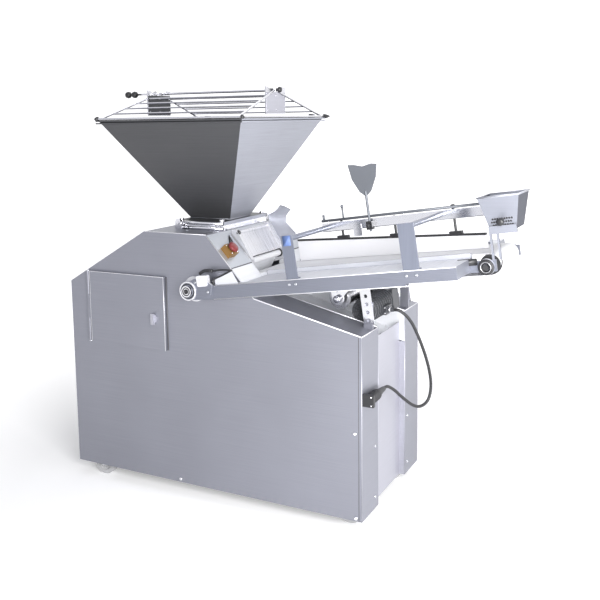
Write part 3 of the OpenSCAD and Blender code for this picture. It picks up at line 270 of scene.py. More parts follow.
def finish_grain(group, given, out, fine, cloud, share):
    """A fine pattern and a cloud, mixed by share, vary the colour and roughness; the fine one is the height."""
    both = add_math(group, "ADD", add_math(group, "MULTIPLY", fine, share),
                    add_math(group, "MULTIPLY", cloud, 1 - share))
    centred = add_math(group, "SUBTRACT", both, 0.5)
    tone = add_math(group, "ADD", add_math(group, "MULTIPLY", centred, given.outputs["Tone Change"]), 1.0)
    scaled = add_vector_math(group, "SCALE", given.outputs["Colour"], tone)
    wire(group, scaled.outputs[0], out.inputs["Colour"])
    rough = add_math(group, "ADD", given.outputs["Roughness"],
                     add_math(group, "MULTIPLY", centred, given.outputs["Roughness Change"]))
    wire(group, rough, out.inputs["Roughness"])
    wire(group, fine, out.inputs["Height"])


def make_brushed_grain():
    """Fine parallel polishing lines; Lines sets how many per metre run along each direction."""
    group, given, out = new_grain("brushed_grain", ("Lines", VECTOR, (4, 4, 900)), 0.12, 0.35, 0.12)
    spot = given.outputs["Vector"]
    stretched = add_vector_math(group, "MULTIPLY", spot, given.outputs["Lines"])
    lines = add_noise(group, stretched.outputs[0], 1.0, 3.0, 0.6)
    cloud = add_noise(group, spot, 3.0, 3.0)
    finish_grain(group, given, out, lines, cloud, 0.6)
    return group


def make_grain_spots():
    """Fine uneven grain, as in cast, moulded or painted surfaces; Grain sets how fine it is."""
    group, given, out = new_grain("grain_spots", ("Grain", VALUE, 400.0), 0.2, 0.5, 0.15)
    spot = given.outputs["Vector"]
    fine = add_noise(group, spot, given.outputs["Grain"], 2.0)
    cloud = add_noise(group, spot, 9.0, 4.0, 0.6)
    finish_grain(group, given, out, fine, cloud, 0.45)
    return group


def make_painted_facing_light():
    """Painted light and shade on one sheet metal piece: another colour, standing for how light falls, on the faces
    square to Square To, and Colour on the rest.
    """
    group, given, out = new_group(
        "painted_facing_light",
        [("Facing", VECTOR, (0, 0, 1)), ("Square To", VECTOR, (1, 0, 0)), ("Colour", COLOUR, GREY),
         ("Painted Face Colour", COLOUR, GREY)],
        [("Colour", COLOUR)])
    along = add_vector_math(group, "DOT_PRODUCT", given.outputs["Facing"], given.outputs["Square To"])
    mix = group.nodes.new("ShaderNodeMix")
    mix.data_type = "RGBA"
    wire(group, add_math(group, "ABSOLUTE", along.outputs["Value"], 0), mix.inputs["Factor"])
    wire(group, given.outputs["Colour"], mix.inputs[MIX_A])
    wire(group, given.outputs["Painted Face Colour"], mix.inputs[MIX_B])
    wire(group, mix.outputs[MIX_RESULT], out.inputs["Colour"])
    return group


BRUSHED = make_brushed_grain()
PAINTED_FACING = make_painted_facing_light()
SPOTS = make_grain_spots()
BUMP_HEIGHT = 0.0002


def finish_material(name, group, colour, values, metallic, bump, coat=0.0):
    """A Principled finish whose colour, roughness and bump come from one of the shared effects."""
    material = bpy.data.materials.new(name)
    material.use_nodes = True
    tree = material.node_tree
    shader = tree.nodes["Principled BSDF"]
    shader.inputs["Metallic"].default_value = metallic
    shader.inputs["Coat Weight"].default_value = coat
    coordinates = tree.nodes.new("ShaderNodeTexCoord")
    effect = tree.nodes.new("ShaderNodeGroup")
    effect.node_tree = group
    wire(tree, coordinates.outputs["Object"], effect.inputs["Vector"])
    effect.inputs["Colour"].default_value = (*colour, 1)
    for label, value in values.items():
        effect.inputs[label].default_value = value
    wire(tree, effect.outputs["Colour"], shader.inputs["Base Color"])
    wire(tree, effect.outputs["Roughness"], shader.inputs["Roughness"])
    relief = tree.nodes.new("ShaderNodeBump")
    relief.inputs["Strength"].default_value = bump
    relief.inputs["Distance"].default_value = BUMP_HEIGHT
    wire(tree, effect.outputs["Height"], relief.inputs["Height"])
    wire(tree, relief.outputs["Normal"], shader.inputs["Normal"])
    return material


def brushed(name, colour, rough, lines, metallic=0.9, tone=0.25, rough_change=0.15, bump=0.06):
    return finish_material(name, BRUSHED, colour,
                           {"Lines": lines, "Tone Change": tone, "Roughness": rough, "Roughness Change": rough_change},
                           metallic, bump)


def spotted(name, colour, rough, grain, metallic=0.0, tone=0.25, rough_change=0.2, bump=0.1, coat=0.0):
    return finish_material(name, SPOTS, colour,
                           {"Grain": grain, "Tone Change": tone, "Roughness": rough, "Roughness Change": rough_change},
                           metallic, bump, coat)


def paint_facing_light(material, square_to, painted_colour):
    """Paints light and shade into a brushed finish: another colour on the faces square to one direction."""
    tree = material.node_tree
    effect = next(node for node in tree.nodes if node.bl_idname == "ShaderNodeGroup")
    coordinates = next(node for node in tree.nodes if node.bl_idname == "ShaderNodeTexCoord")
    tone = tree.nodes.new("ShaderNodeGroup")
    tone.node_tree = PAINTED_FACING
    tone.inputs["Square To"].default_value = square_to
    tone.inputs["Colour"].default_value = effect.inputs["Colour"].default_value
    tone.inputs["Painted Face Colour"].default_value = (*painted_colour, 1)
    wire(tree, coordinates.outputs["Normal"], tone.inputs["Facing"])
    wire(tree, tone.outputs["Colour"], effect.inputs["Colour"])
    return material


# Finishes: name, colour, roughness, then the polishing lines along x, y, z or the grain

PANEL = brushed("satin_panel", (0.275, 0.280, 0.320), 0.42, (3, 3, 700), metallic=0.7, tone=0.5)
# A lighter copy of the panel finish, painted light for the end panel that faces the light; the flanges' upright beads,
# the door latch and the guard's front plate skin take it too
PANEL_LIT_COPY = brushed("satin_panel_lit_copy", (0.44, 0.44, 0.49), 0.42, (3, 3, 700), metallic=0.7, tone=0.5)
# The hopper's finish paints shade and light: very dark on its near and far faces, much lighter on the faces square to x
HOPPER = paint_facing_light(brushed("satin_hopper_painted_light_and_shade", (0.085, 0.086, 0.092), 0.45, (5, 5, 500), metallic=0.5, tone=0.7), X,
                   (0.36, 0.37, 0.42))
FRONT = brushed("satin_front", (0.48, 0.50, 0.54), 0.38, (3, 700, 3), metallic=0.7, tone=0.4)
HANDLE = brushed("satin_handle", (0.38, 0.39, 0.43), 0.38, (3, 700, 3), metallic=0.7, tone=0.4)
# Near-white steel, painted light so the trough and slider bed under the conveyor's shadow read bright
TROUGH = brushed("satin_trough_painted_light", (0.82, 0.83, 0.86), 0.35, (700, 3, 3), metallic=0.2, tone=0.3)
POLISHED = brushed("polished_steel", (0.74, 0.74, 0.77), 0.16, (200, 200, 600), metallic=1.0, tone=0.12, bump=0.03)
# Light steel for the painted highlights along folded edges; the hub rings, pivot flanges and clamp blocks also take it
FOLD = brushed("bright_fold", (0.78, 0.78, 0.81), 0.35, (300, 300, 300), metallic=0.4, tone=0.15, bump=0.03)
ROD = brushed("polished_rod", (0.58, 0.58, 0.61), 0.24, (6, 500, 500), metallic=1.0, tone=0.15, bump=0.03)
BOLT = brushed("bolt_steel", (0.36, 0.37, 0.40), 0.34, (300, 300, 300), metallic=0.7, tone=0.2)
# The arms' finish paints light: much lighter on the faces square to z, the flanges' tops and undersides, than on the
# webs; the flour box's rim takes it too
CHANNEL = paint_facing_light(brushed("satin_channel_painted_light", (0.185, 0.195, 0.235), 0.40, (4, 4, 800), metallic=0.4, tone=0.7), Z,
                    (0.70, 0.71, 0.76))
LIP = brushed("bright_lip", (0.70, 0.71, 0.75), 0.34, (3, 3, 700), metallic=0.5, tone=0.35)
POST = brushed("blued_post", (0.190, 0.205, 0.255), 0.38, (500, 4, 4), metallic=0.5, tone=0.5)
# The flour box's finish paints shade: near black on the faces square to x; the chain guard takes it too
FLOUR = paint_facing_light(brushed("satin_flour_box_painted_shade", (0.26, 0.27, 0.31), 0.52, (4, 4, 700), metallic=0.7, tone=0.4), X,
                  (0.060, 0.065, 0.085))
HEAD = brushed("bright_head", (0.60, 0.60, 0.63), 0.28, (3, 500, 3), metallic=0.5, tone=0.3)
MACHINED = brushed("machined_steel", (0.50, 0.50, 0.52), 0.28, (400, 60, 400), metallic=1.0)
PLATE = brushed("dark_plate", (0.055, 0.057, 0.063), 0.42, (4, 300, 300), metallic=0.4, tone=0.6)
CAST = spotted("cast_grey", (0.22, 0.22, 0.23), 0.6, 300, metallic=0.6)
ENAMEL = spotted("dark_enamel", (0.042, 0.044, 0.050), 0.42, 260, tone=0.35, coat=0.2)
PADDLE = spotted("grey_paddle", (0.16, 0.17, 0.19), 0.45, 350, metallic=0.4)
BELT = spotted("belt_cloth", (0.86, 0.86, 0.88), 0.75, 900, tone=0.15, bump=0.25)
BOARD = spotted("white_board", (0.75, 0.75, 0.77), 0.45, 220, tone=0.07, bump=0.04)
NYLON = spotted("white_nylon", (0.55, 0.55, 0.56), 0.4, 200, tone=0.2)
BLACK = spotted("black_moulding", (0.018, 0.018, 0.020), 0.4, 500, tone=0.4, bump=0.08)
RUBBER = spotted("black_rubber", (0.022, 0.022, 0.024), 0.55, 700, tone=0.4, bump=0.12)
# Dark lines: the panels' end lines and the apron beads, and the painted shadow beside the door
DARK_LINE = spotted("dark_line", (0.10, 0.10, 0.11), 0.7, 500, tone=0.3)
RED = spotted("red_button", (0.17, 0.014, 0.014), 0.32, 200, tone=0.2, coat=0.3)
YELLOW = spotted("yellow_base", (0.20, 0.105, 0.025), 0.4, 200, tone=0.25)
FILM = spotted("blue_film", (0.105, 0.165, 0.36), 0.55, 300, tone=0.4)
BRISTLE = spotted("brown_bristle", (0.30, 0.20, 0.10), 0.8, 600, tone=0.5, bump=0.5)

FINISHES = {
    PANEL: ["side_panel_near", "side_panel_far", "rear_panel", "top_cover", "access_door"],
    PANEL_LIT_COPY: ["end_panel", "door_latch"],
    HOPPER: ["hopper"],
    FRONT: ["front_plate"],
    HANDLE: ["handle_plate"],
    TROUGH: ["chute_trough", "slider_bed"],
    POLISHED: ["throat_frame", "pivot_hubs", "hangers", "tilt_straps", "guide_rail", "clamp_bolts"],
    HEAD: ["head_cheeks", "drum_cover"],
    ROD: ["hopper_guard", "piston_rod"],
    CHANNEL: ["conveyor_side_near", "conveyor_side_far"],
    POST: ["guide_posts"],
    FLOUR: ["flour_box", "chain_guard"],
    MACHINED: ["measuring_drum", "measuring_pistons", "ram", "knife", "tail_roller", "return_roller",
               "rear_caster_forks", "front_fork_near", "front_fork_far"],
    CAST: ["chamber_block"],
    ENAMEL: ["base_frame", "ram_rocker", "ram_cylinder", "hydraulic_tank", "pump_motor", "conveyor_motor"],
    PADDLE: ["paddle"],
    BELT: ["conveyor_belt"],
    BOARD: ["rounding_board", "discharge_roller"],
    NYLON: ["rear_wheel_near", "rear_wheel_far", "front_wheel_near", "front_wheel_far"],
    BLACK: ["rail_clamps", "board_hangers", "cord_plug", "power_socket"],
    RUBBER: ["head_roller"],
    RED: ["estop_button"],
    YELLOW: ["estop_base"],
    BRISTLE: ["flour_brush"],
}


def dress(piece, material):
    piece.data.materials.clear()
    piece.data.materials.append(material)


for finish, names in FINISHES.items():
    for node_name in names:
        dress(NODES[node_name], finish)
dress(cord_piece, RUBBER)


def place(name, bm, body, material, smooth=True):
    """Finishes a new piece and lets it ride on its body."""
    piece = add_mesh(name, bm, smooth)
    dress(piece, material)
    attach(piece, body)


# Shapes of the trim; a small head's size is (radius, height), and its shape is in shares of these

DOME_HEAD = [(0, 1), (0.35, 1), (0.75, 0.85), (1, 0.5), (1, 0.4), (0.5, 0.36)]
HEX_WASHER, HEX_HEAD = [(0, 1.35), (0.15, 1.35)], [(0.15, 1), (0.9, 1), (1, 0.85)]
GRIP_KNOB = [(0, 0.55), (0.25, 0.5), (0.4, 0.9), (0.6, 1), (0.85, 0.85), (1, 0.4)]
CONE_CAP = [(-0.3, 1), (0, 1), (0.6, 0.6), (1, 0.1)]
BEAD_SIDES, CORNER_STEPS = 8, 4
SMALL_SCREW = (0.003, 0.002)


def at_y(y, line):
    """A line of (x, z) in an upright plane."""
    return [Vector((x, y, z)) for x, z in line]


def turned(bm, shape, at, axis, size, sides=24):
    radius, height = size
    lathe(bm, Vector(at), axis, [(height * along, radius * out) for along, out in shape], sides)


def dome_bolt(bm, at, axis, size):
    """Round head with a chamfered foot and a socket in its crown."""
    turned(bm, DOME_HEAD, at, axis, size)


def hex_bolt(bm, at, axis, size):
    """Hexagon head on its washer."""
    turned(bm, HEX_WASHER, at, axis, size)
    turned(bm, HEX_HEAD, at, axis, size, 6)


def grip_knob(bm, at, axis, size):
    """Turned knob with a waist and a rounded crown."""
    turned(bm, GRIP_KNOB, at, axis, size)


def ring(bm, at, axis, radius, bead, sides=32):
    """Round bead bent to a ring about an axis."""
    axis = axis.normalized()
    rings = [[bm.verts.new(at + out * radius + way * bead) for way in around(out, axis, BEAD_SIDES)]
             for out in around(*frame_of(axis), sides)]
    skin(bm, rings + rings[:1])


def closed_bars(bm, corners, radius):
    """Round bars along the sides of a closed outline."""
    for a, b in zip(corners, corners[1:] + corners[:1]):
        sweep(bm, [a, b], radius)


def flat_plate(bm, outline, out):
    """Flat plate with the given outline, thickened by one vector."""
    rings = [[bm.verts.new(v) for v in outline], [bm.verts.new(v + out) for v in outline]]
    skin(bm, rings)
    close_ends(bm, rings)


def rounded_sheet(bm, corner, across, up, thick, round_off):
    """Thin sheet with rounded corners, spanned by two directions from one corner."""
    a, b = across.normalized(), up.normalized()
    right, top = across.length - round_off, up.length - round_off
    outline = []
    for cx, cy, start in ((right, round_off, 270), (right, top, 0), (round_off, top, 90), (round_off, round_off, 180)):
        for k in range(CORNER_STEPS + 1):
            t = math.radians(start + 90 * k / CORNER_STEPS)
            outline.append(corner + a * (cx + round_off * math.cos(t)) + b * (cy + round_off * math.sin(t)))
    flat_plate(bm, outline, a.cross(b) * thick)


def belt_sheet(bm, side, at, size):
    """Rounded sheet along the conveyor; its size is its length, height, thickness away from the middle and rounding."""
    long, tall, thick, round_off = size
    rounded_sheet(bm, on_side(side, at), ALONG * long, SQUARE * tall, -side * thick, round_off)


# Cabinet trim

HALF_LEN, HALF_WID = 0.665, 0.310
REAR_TOP, DECK_REAR, DECK_FRONT = (-0.665, 0.850), (-0.273, 1.080), (0.020, 1.080)
SHOULDER, END_TOP = (0.228, 0.848), (0.665, 0.747)
PANEL_FOOT = 0.055
# Radii of the painted highlight beads along the folded edges
FOLD_HIGHLIGHT_R, DECK_HIGHLIGHT_R, END_HIGHLIGHT_R = 0.0022, 0.00154, 0.00176
PANEL_EDGE, TROUGH_EDGE, END_EDGE = 0.3085, 0.149, 0.664
TROUGH_END = (0.663, 0.7475)


def make_panel_fold_highlights():
    """Painted highlights: bright beads along the folded tops of the side panels, trough and end flanges, and beads of
    the panel's lighter copy, also painted light, down the flanges.
    """
    bright, uprights = bmesh.new(), bmesh.new()
    top = END_TOP[1]
    for side, _ in SIDES:
        panel_y, trough_y = side * PANEL_EDGE, side * TROUGH_EDGE
        sweep(bright, at_y(panel_y, (DECK_FRONT, SHOULDER, END_TOP)), FOLD_HIGHLIGHT_R)
        sweep(bright, at_y(panel_y, (REAR_TOP, DECK_REAR, DECK_FRONT)), DECK_HIGHLIGHT_R)
        sweep(bright, at_y(trough_y, (SHOULDER, TROUGH_END)), END_HIGHLIGHT_R)
        sweep(bright, [(END_EDGE, panel_y, top), (END_EDGE, trough_y, top)], END_HIGHLIGHT_R)
        for y in (panel_y, trough_y):
            sweep(uprights, at_y(y, ((END_EDGE, PANEL_FOOT), (END_EDGE, top))), END_HIGHLIGHT_R)
    place("panel_fold_highlights", bright, "cabinet", FOLD)
    place("upright_fold_highlights", uprights, "cabinet", PANEL_LIT_COPY)


END_LINE_X, END_LINE_TOP, END_LINE_R = 0.653, 0.745, 0.0013


def make_panel_end_lines():
    """Dark line down each side panel near its discharge end."""
    bm = bmesh.new()
    for side, _ in SIDES:
        sweep(bm, at_y(side * HALF_WID, ((END_LINE_X, PANEL_FOOT), (END_LINE_X, END_LINE_TOP))), END_LINE_R)
    place("panel_end_lines", bm, "cabinet", DARK_LINE)


PANEL_BOLTS, PANEL_BOLT = [(-0.131, 0.068), (0.641, 0.066), (0.638, 0.388)], (0.007, 0.004)
FLANGE_BOLT_Y, FLANGE_BOLT_Z, FLANGE_BOLT = 0.180, (0.10, 0.30), (0.005, 0.003)


def make_panel_bolts():
    """Round heads on the side panels and on their flanges at the discharge end."""
    bm = bmesh.new()
    for side, _ in SIDES:
        for at in at_y(side * HALF_WID, PANEL_BOLTS):
            dome_bolt(bm, at, Y * side, PANEL_BOLT)
        for z in FLANGE_BOLT_Z:
            dome_bolt(bm, (HALF_LEN, side * FLANGE_BOLT_Y, z), X, FLANGE_BOLT)
    place("panel_bolts", bm, "cabinet", POLISHED)


LOUVRES, LOUVRE_LOW, LOUVRE_PITCH = 6, 0.329, 0.032
HOOD_LINE, HOOD_R = [(0, 0.045), (0.002, 0.055), (0.002, 0.215), (0, 0.225)], 0.004  # (out of the panel, y)


def make_louvre_hoods():
    """Pressed lips over the rear panel's louvres."""
    bm = bmesh.new()
    for side, _ in SIDES:
        for row in range(LOUVRES):
            z = LOUVRE_LOW + row * LOUVRE_PITCH
            sweep(bm, [(-HALF_LEN - out, side * y, z) for out, y in HOOD_LINE], HOOD_R)
    place("louvre_hoods", bm, "cabinet", PANEL)


DOOR_X, DOOR_Z, DOOR_FACE, DOOR_HIGHLIGHT_R = (-0.5505, -0.1755), (0.603, 0.902), -0.3248, 0.0015
HINGE_X, HINGE_PIN_Y, HINGE_CAP = -0.5635, -0.319, (0.0065, 0.004)
# Painted shadow beside the door's front edge
DOOR_SHADOW_X, DOOR_SHADOW_R = -0.1705, 0.0028


def make_door_trim():
    """End caps of the hinge pin, painted highlights along the door's folded edges, and a painted shadow, a dark bar on
    the panel, beside the door's front edge.
    """
    rear, front = DOOR_X
    low, high = DOOR_Z
    bm = bmesh.new()
    for z, way in ((low, -Z), (high, Z)):
        dome_bolt(bm, (HINGE_X, HINGE_PIN_Y, z), way, HINGE_CAP)
    place("door_hinge_caps", bm, "cabinet", POLISHED)
    bm = bmesh.new()
    sweep(bm, at_y(DOOR_FACE, ((rear, low), (rear, high), (front, high), (front, low))), DOOR_HIGHLIGHT_R)
    place("door_edge_highlights", bm, "access_door", FOLD)
    bm = bmesh.new()
    sweep(bm, at_y(-HALF_WID, ((DOOR_SHADOW_X, low), (DOOR_SHADOW_X, high))), DOOR_SHADOW_R)
    place("door_painted_shadow", bm, "cabinet", DARK_LINE)


CASTERS = [("cabinet", 1, -0.549, -0.265), ("cabinet", 2, -0.549, 0.265),
           ("front_fork_near", 1, 0.582, -0.215), ("front_fork_far", 2, 0.582, 0.215)]
AXLE_Z, FORK_HALF, AXLE_NUT = 0.050, 0.023, (0.009, 0.006)


def make_caster_nuts():
    """Axle nuts on both cheeks of each caster fork."""
    for body, number, x, y in CASTERS:
        bm = bmesh.new()
        for side, _ in SIDES:
            hex_bolt(bm, (x, y + side * FORK_HALF, AXLE_Z), Y * side, AXLE_NUT)
        place("axle_nuts_%s_%d" % (body, number), bm, body, POLISHED)


PLUG_AT, GRIP_RINGS, GRIP_PITCH, GRIP_RING = Vector((0.687, -0.284, 0.516)), 7, 0.009, (0.0190, 0.0014)
OUTLET_SCREWS = [(0.700, -0.308, 0.500), (0.700, -0.308, 0.532)]


def make_socket_trim():
    """Grip rings of the plug and the outlet's two screws."""
    bm = bmesh.new()
    for i in range(GRIP_RINGS):
        ring(bm, PLUG_AT + Y * GRIP_PITCH * i, Y, *GRIP_RING)
    place("plug_grip_rings", bm, "cabinet", BLACK)
    bm = bmesh.new()
    for at in OUTLET_SCREWS:
        dome_bolt(bm, at, -Y, SMALL_SCREW)
    place("outlet_screws", bm, "cabinet", POLISHED)


# Hopper and guard trim

NECK_X, NECK_Y, NECK_Z, WELD_R = (-0.200, -0.008), 0.080, 1.114, 0.003


def make_neck_weld():
    """Weld bead round the hopper's neck."""
    bm = bmesh.new()
    rear, front = NECK_X
    closed_bars(bm, [(x, y, NECK_Z) for x, y in ((rear, -NECK_Y), (front, -NECK_Y), (front, NECK_Y), (rear, NECK_Y))],
                WELD_R)
    place("neck_weld", bm, "cabinet", HOPPER)


RIDGE_X, RIDGE_Z = (-0.402, 0.168), 1.6323
RIDGE_KNOBS = [((-0.409, 0, 1.6323), -X, (0.012, 0.020)), ((0.175, 0, 1.6343), X, (0.012, 0.022))]
RIM_CAPS = [((0.219, 0.362, 1.5273), X, (0.010, 0.024)), ((-0.453, -0.350, 1.5273), -X, (0.010, 0.014)),
            ((0.219, -0.350, 1.5273), X, (0.009, 0.010))]
BALL_X, BALL_KNOB = (-0.517, -0.552), [(0, 0.006), (0.005, 0.013), (0.014, 0.015), (0.023, 0.012), (0.028, 0.005)]
GRIP_ROD_X, GRIP_ROD_R = (-0.422, -0.522), 0.0045


def make_guard_knobs():
    """Black knobs and caps of the guard, and the grip at its rear end."""
    bm = bmesh.new()
    for x in BALL_X:
        lathe(bm, Vector((x, 0, RIDGE_Z)), -X, BALL_KNOB)
    for at, way, size in RIDGE_KNOBS:
        grip_knob(bm, at, way, size)
    for at, way, size in RIM_CAPS:
        turned(bm, CONE_CAP, at, way, size)
    place("guard_knobs", bm, "hopper_guard", BLACK)
    bm = bmesh.new()
    sweep(bm, [(x, 0, RIDGE_Z) for x in GRIP_ROD_X], GRIP_ROD_R)
    place("guard_grip_rod", bm, "hopper_guard", ROD)


SKIN_HALF, SKIN_LOW, SKIN_TALL, SKIN_ROUND = 0.0795, 1.5423, 0.082, 0.004
SKIN_OFF, SKIN_THICK = 0.0021, 0.0006
RIVET_Y, RIVET_Z, RIVET = (-0.0685, 0, 0.0685), (1.5543, 1.6103), (0.004, 0.002)


def make_guard_skin():
    """Cover sheets on the guard's end plates, dark at the rear and light at the front, with their rivets."""
    rivets = bmesh.new()
    for tag, x, material in (("rear", RIDGE_X[0], PLATE), ("front", RIDGE_X[1], PANEL_LIT_COPY)):
        bm = bmesh.new()
        for side, _ in SIDES:
            face = x + side * SKIN_OFF
            rounded_sheet(bm, Vector((face, -SKIN_HALF, SKIN_LOW)), Y * 2 * SKIN_HALF, Z * SKIN_TALL,
                          side * SKIN_THICK, SKIN_ROUND)
            for y in RIVET_Y:
                for z in RIVET_Z:
                    dome_bolt(rivets, (face + side * SKIN_THICK, y, z), X * side, RIVET)
        place("guard_plate_skin_" + tag, bm, "hopper_guard", material, smooth=False)
    place("guard_plate_rivets", rivets, "hopper_guard", ROD)


FLANGE_Y, BAR_Y, BAR_X, BAR_Z, BAR_R, BAR_SIDES = 0.180, 0.182, (-0.176, 0.020), (1.107, 1.087), 0.0075, 16
BRACKET = [(-0.202, 1.0805), (-0.170, 1.0805), (-0.170, 1.094), (-0.178, 1.121), (-0.196, 1.121), (-0.202, 1.110)]
BRACKET_THICK, BRACKET_BOLT_AT, BRACKET_BOLT = 0.014, (-0.186, 1.104), (0.006, 0.005)


def make_flange_bars():
    """Polished round bars along the hopper's flange and the frame under it, with their end brackets."""
    bars, brackets = bmesh.new(), bmesh.new()
    bolt_x, bolt_z = BRACKET_BOLT_AT
    for side, _ in SIDES:
        for z in BAR_Z:
            sweep(bars, [(x, side * BAR_Y, z) for x in BAR_X], BAR_R, BAR_SIDES)
        flat_plate(brackets, at_y(side * FLANGE_Y, BRACKET), Y * side * BRACKET_THICK)
        hex_bolt(brackets, (bolt_x, side * (FLANGE_Y + BRACKET_THICK), bolt_z), Y * side, BRACKET_BOLT)
    place("flange_bars", bars, "cabinet", POLISHED)
    place("flange_brackets", brackets, "cabinet", POLISHED, smooth=False)


# Head trim

SLOPE = math.atan2(DECK_FRONT[1] - SHOULDER[1], SHOULDER[0] - DECK_FRONT[0])
DOWN_SLOPE = Vector((math.cos(SLOPE), 0, -math.sin(SLOPE)))
OFF_SLOPE = Vector((math.sin(SLOPE), 0, math.cos(SLOPE)))


def on_slope(s, y, off):
    """A place on the front slope: s down it from the deck's edge, off square to it."""
    return Vector((DECK_FRONT[0], y, DECK_FRONT[1])) + DOWN_SLOPE * s + OFF_SLOPE * off


COVER_KNOB_AT, COVER_KNOB = (0.062, -0.124, 1.069), (0.011, 0.018)
COLLARS = [((0.107, 0.1205, 0.954), 0.0150, 0.0035), ((0.107, -0.1205, 0.954), 0.0135, 0.0020)]
POINTER = [(0.022, -0.168, 0.004), (0.062, -0.205, 0.0), (0.062, -0.175, 0.0), (0.062, -0.190, 0.012)]  # tip, foot


def make_head_trim():
    """Cover's hinge knob, dark end collars of the roller and the black pointer over the emergency stop."""
    bm = bmesh.new()
    grip_knob(bm, COVER_KNOB_AT, -Y, COVER_KNOB)
    for at, radius, bead in COLLARS:
        ring(bm, Vector(at), Y, radius, bead)
    corners = [bm.verts.new(on_slope(*at)) for at in POINTER]
    for a, b, c in ((0, 1, 2), (0, 2, 3), (0, 3, 1), (1, 3, 2)):
        bm.faces.new((corners[a], corners[b], corners[c]))
    place("head_knobs", bm, "cabinet", BLACK)


APRON_S, APRON_Y = (0.167, 0.300), (0.154, 0.305)
APRON_OFF, APRON_THICK, APRON_ROUND = 0.0002, 0.0008, 0.003
APRON_BEAD_OFF, APRON_BEAD_R = 0.001, 0.0022


def make_front_apron():
    """Light cover sheets on the foot of the front slope, each with a dark bead along its top."""
    bm, beads = bmesh.new(), bmesh.new()
    (top, foot), (inner, outer) = APRON_S, APRON_Y
    for side, _ in SIDES:
        rounded_sheet(bm, on_slope(foot, min(side * inner, side * outer), APRON_OFF), Y * (outer - inner),
                      DOWN_SLOPE * (top - foot), APRON_THICK, APRON_ROUND)
        sweep(beads, [on_slope(top, side * y, APRON_BEAD_OFF) for y in (outer, inner)], APRON_BEAD_R)
    place("front_apron", bm, "cabinet", LIP, smooth=False)
    place("front_apron_beads", beads, "cabinet", DARK_LINE)


STOP_S, STOP_Y, STOP_TOP = (0.078, 0.116), (-0.275, -0.237), 0.026


def make_stop_screws():
    """Screws at the corners of the emergency stop's base."""
    bm = bmesh.new()
    for s in STOP_S:
        for y in STOP_Y:
            dome_bolt(bm, on_slope(s, y, STOP_TOP), OFF_SLOPE, SMALL_SCREW)
    place("stop_base_screws", bm, "cabinet", POLISHED)


# Conveyor trim

ARM_Y, HUB_Y, CAP_Y = 0.345, 0.363, 0.3743
PIVOT_U = 0.024
CAP_RING, HUB_SEAL, HUB_RING = (0.0150, 0.0022), (0.0275, 0.0022), (0.0350, 0.0028)
PIVOT_BOLT = [(0, 0.0095), (0.002, 0.0095), (0.003, 0.008), (0.003, 0.005), (0.0008, 0.0045)]
PIVOT_FLANGE = [(0, 0.050), (0.005, 0.050), (0.008, 0.047), (0.008, 0.036)]


def make_hub_rings():
    """Rings of the pivot's cap and hub, the dark bolt in the middle and the flange on the cabinet."""
    for side, tag in SIDES:
        cap, hub, wall = (on_belt(PIVOT_U, side * y, 0) for y in (CAP_Y, HUB_Y, HALF_WID))
        bm = bmesh.new()
        ring(bm, cap, Y, *CAP_RING)
        lathe(bm, cap, Y * side, PIVOT_BOLT)
        place("pivot_cap_ring_" + tag, bm, "cabinet", BLACK)
        bm = bmesh.new()
        ring(bm, hub, Y, *HUB_SEAL)
        place("pivot_hub_seal_" + tag, bm, "conveyor", BLACK)
        bm = bmesh.new()
        ring(bm, hub, Y, *HUB_RING)
        place("pivot_hub_ring_" + tag, bm, "conveyor", FOLD)
        bm = bmesh.new()
        lathe(bm, wall, Y * side, PIVOT_FLANGE, 48, closed=False)
        place("pivot_flange_" + tag, bm, "cabinet", FOLD)


BEARING_AT = (1.140, 0.198, -0.018)
BEARING_COVER = [(0, 0.0275), (0.004, 0.0275), (0.006, 0.0245), (0.006, 0.0125), (0, 0.0118)]
BEARING_FACE, BEARING_RING = 0.006, (0.0175, 0.0017)
# Black sheets standing for the shaded gap at each arm's end, partly the black roller's end
GAP_SHADE_AT, GAP_SHADE = (1.040, 0.1882, -0.010), (0.070, 0.024, 0.004, 0.005)


def make_bearing_caps():
    """Black covers of the head roller's bearings, each with a bright ring, and black sheets beside them, painted shade
    for the dark gap at the arm's end, where the black roller's end also shows.
    """
    bm, bright = bmesh.new(), bmesh.new()
    for side, _ in SIDES:
        at = on_side(side, BEARING_AT)
        lathe(bm, at, Y * side, BEARING_COVER, 32, closed=False)
        ring(bright, at + Y * side * BEARING_FACE, Y, *BEARING_RING)
        belt_sheet(bm, side, GAP_SHADE_AT, GAP_SHADE)
    place("bearing_covers_and_gap_shade", bm, "conveyor", BLACK)
    place("bearing_rings", bright, "conveyor", MACHINED)


POST_BOLT_U, POST_BOLT = (0.459, 0.485, 0.908, 0.944), (0.0045, 0.005)
POST_FOOT_Y, POST_FOOT_W = -0.325, 0.016
ARM_BOLT_W, ARM_BOLT = -0.006, (0.0055, 0.0035)
HANGER_BOLT, STAY_BOLT = (0.007, 0.005), (0.006, 0.005)
SIDE_BOLTS = [((0.555, 0.158, -0.012), HANGER_BOLT), ((0.555, 0.158, -0.036), HANGER_BOLT),
              ((0.555, 0.158, -0.066), HANGER_BOLT), ((0.665, 0.158, -0.005), STAY_BOLT),
              ((0.688, 0.204, -0.030), HANGER_BOLT)]
TAKE_UP_BOLTS, TAKE_UP_Y, TAKE_UP_BOLT = [(1.052, -0.010), (1.066, -0.024)], 0.188, (0.005, 0.0035)
PIVOT_BOLTS, PIVOT_BOLT_Y, PIVOT_HEAD = [(0.060, 0.030), (0.085, 0.022), (0.112, -0.010)], 0.357, (0.0055, 0.004)
RETURN_SHAFT, SHAFT_NUT = (0.555, 0.170, -0.1006), (0.0105, 0.008)


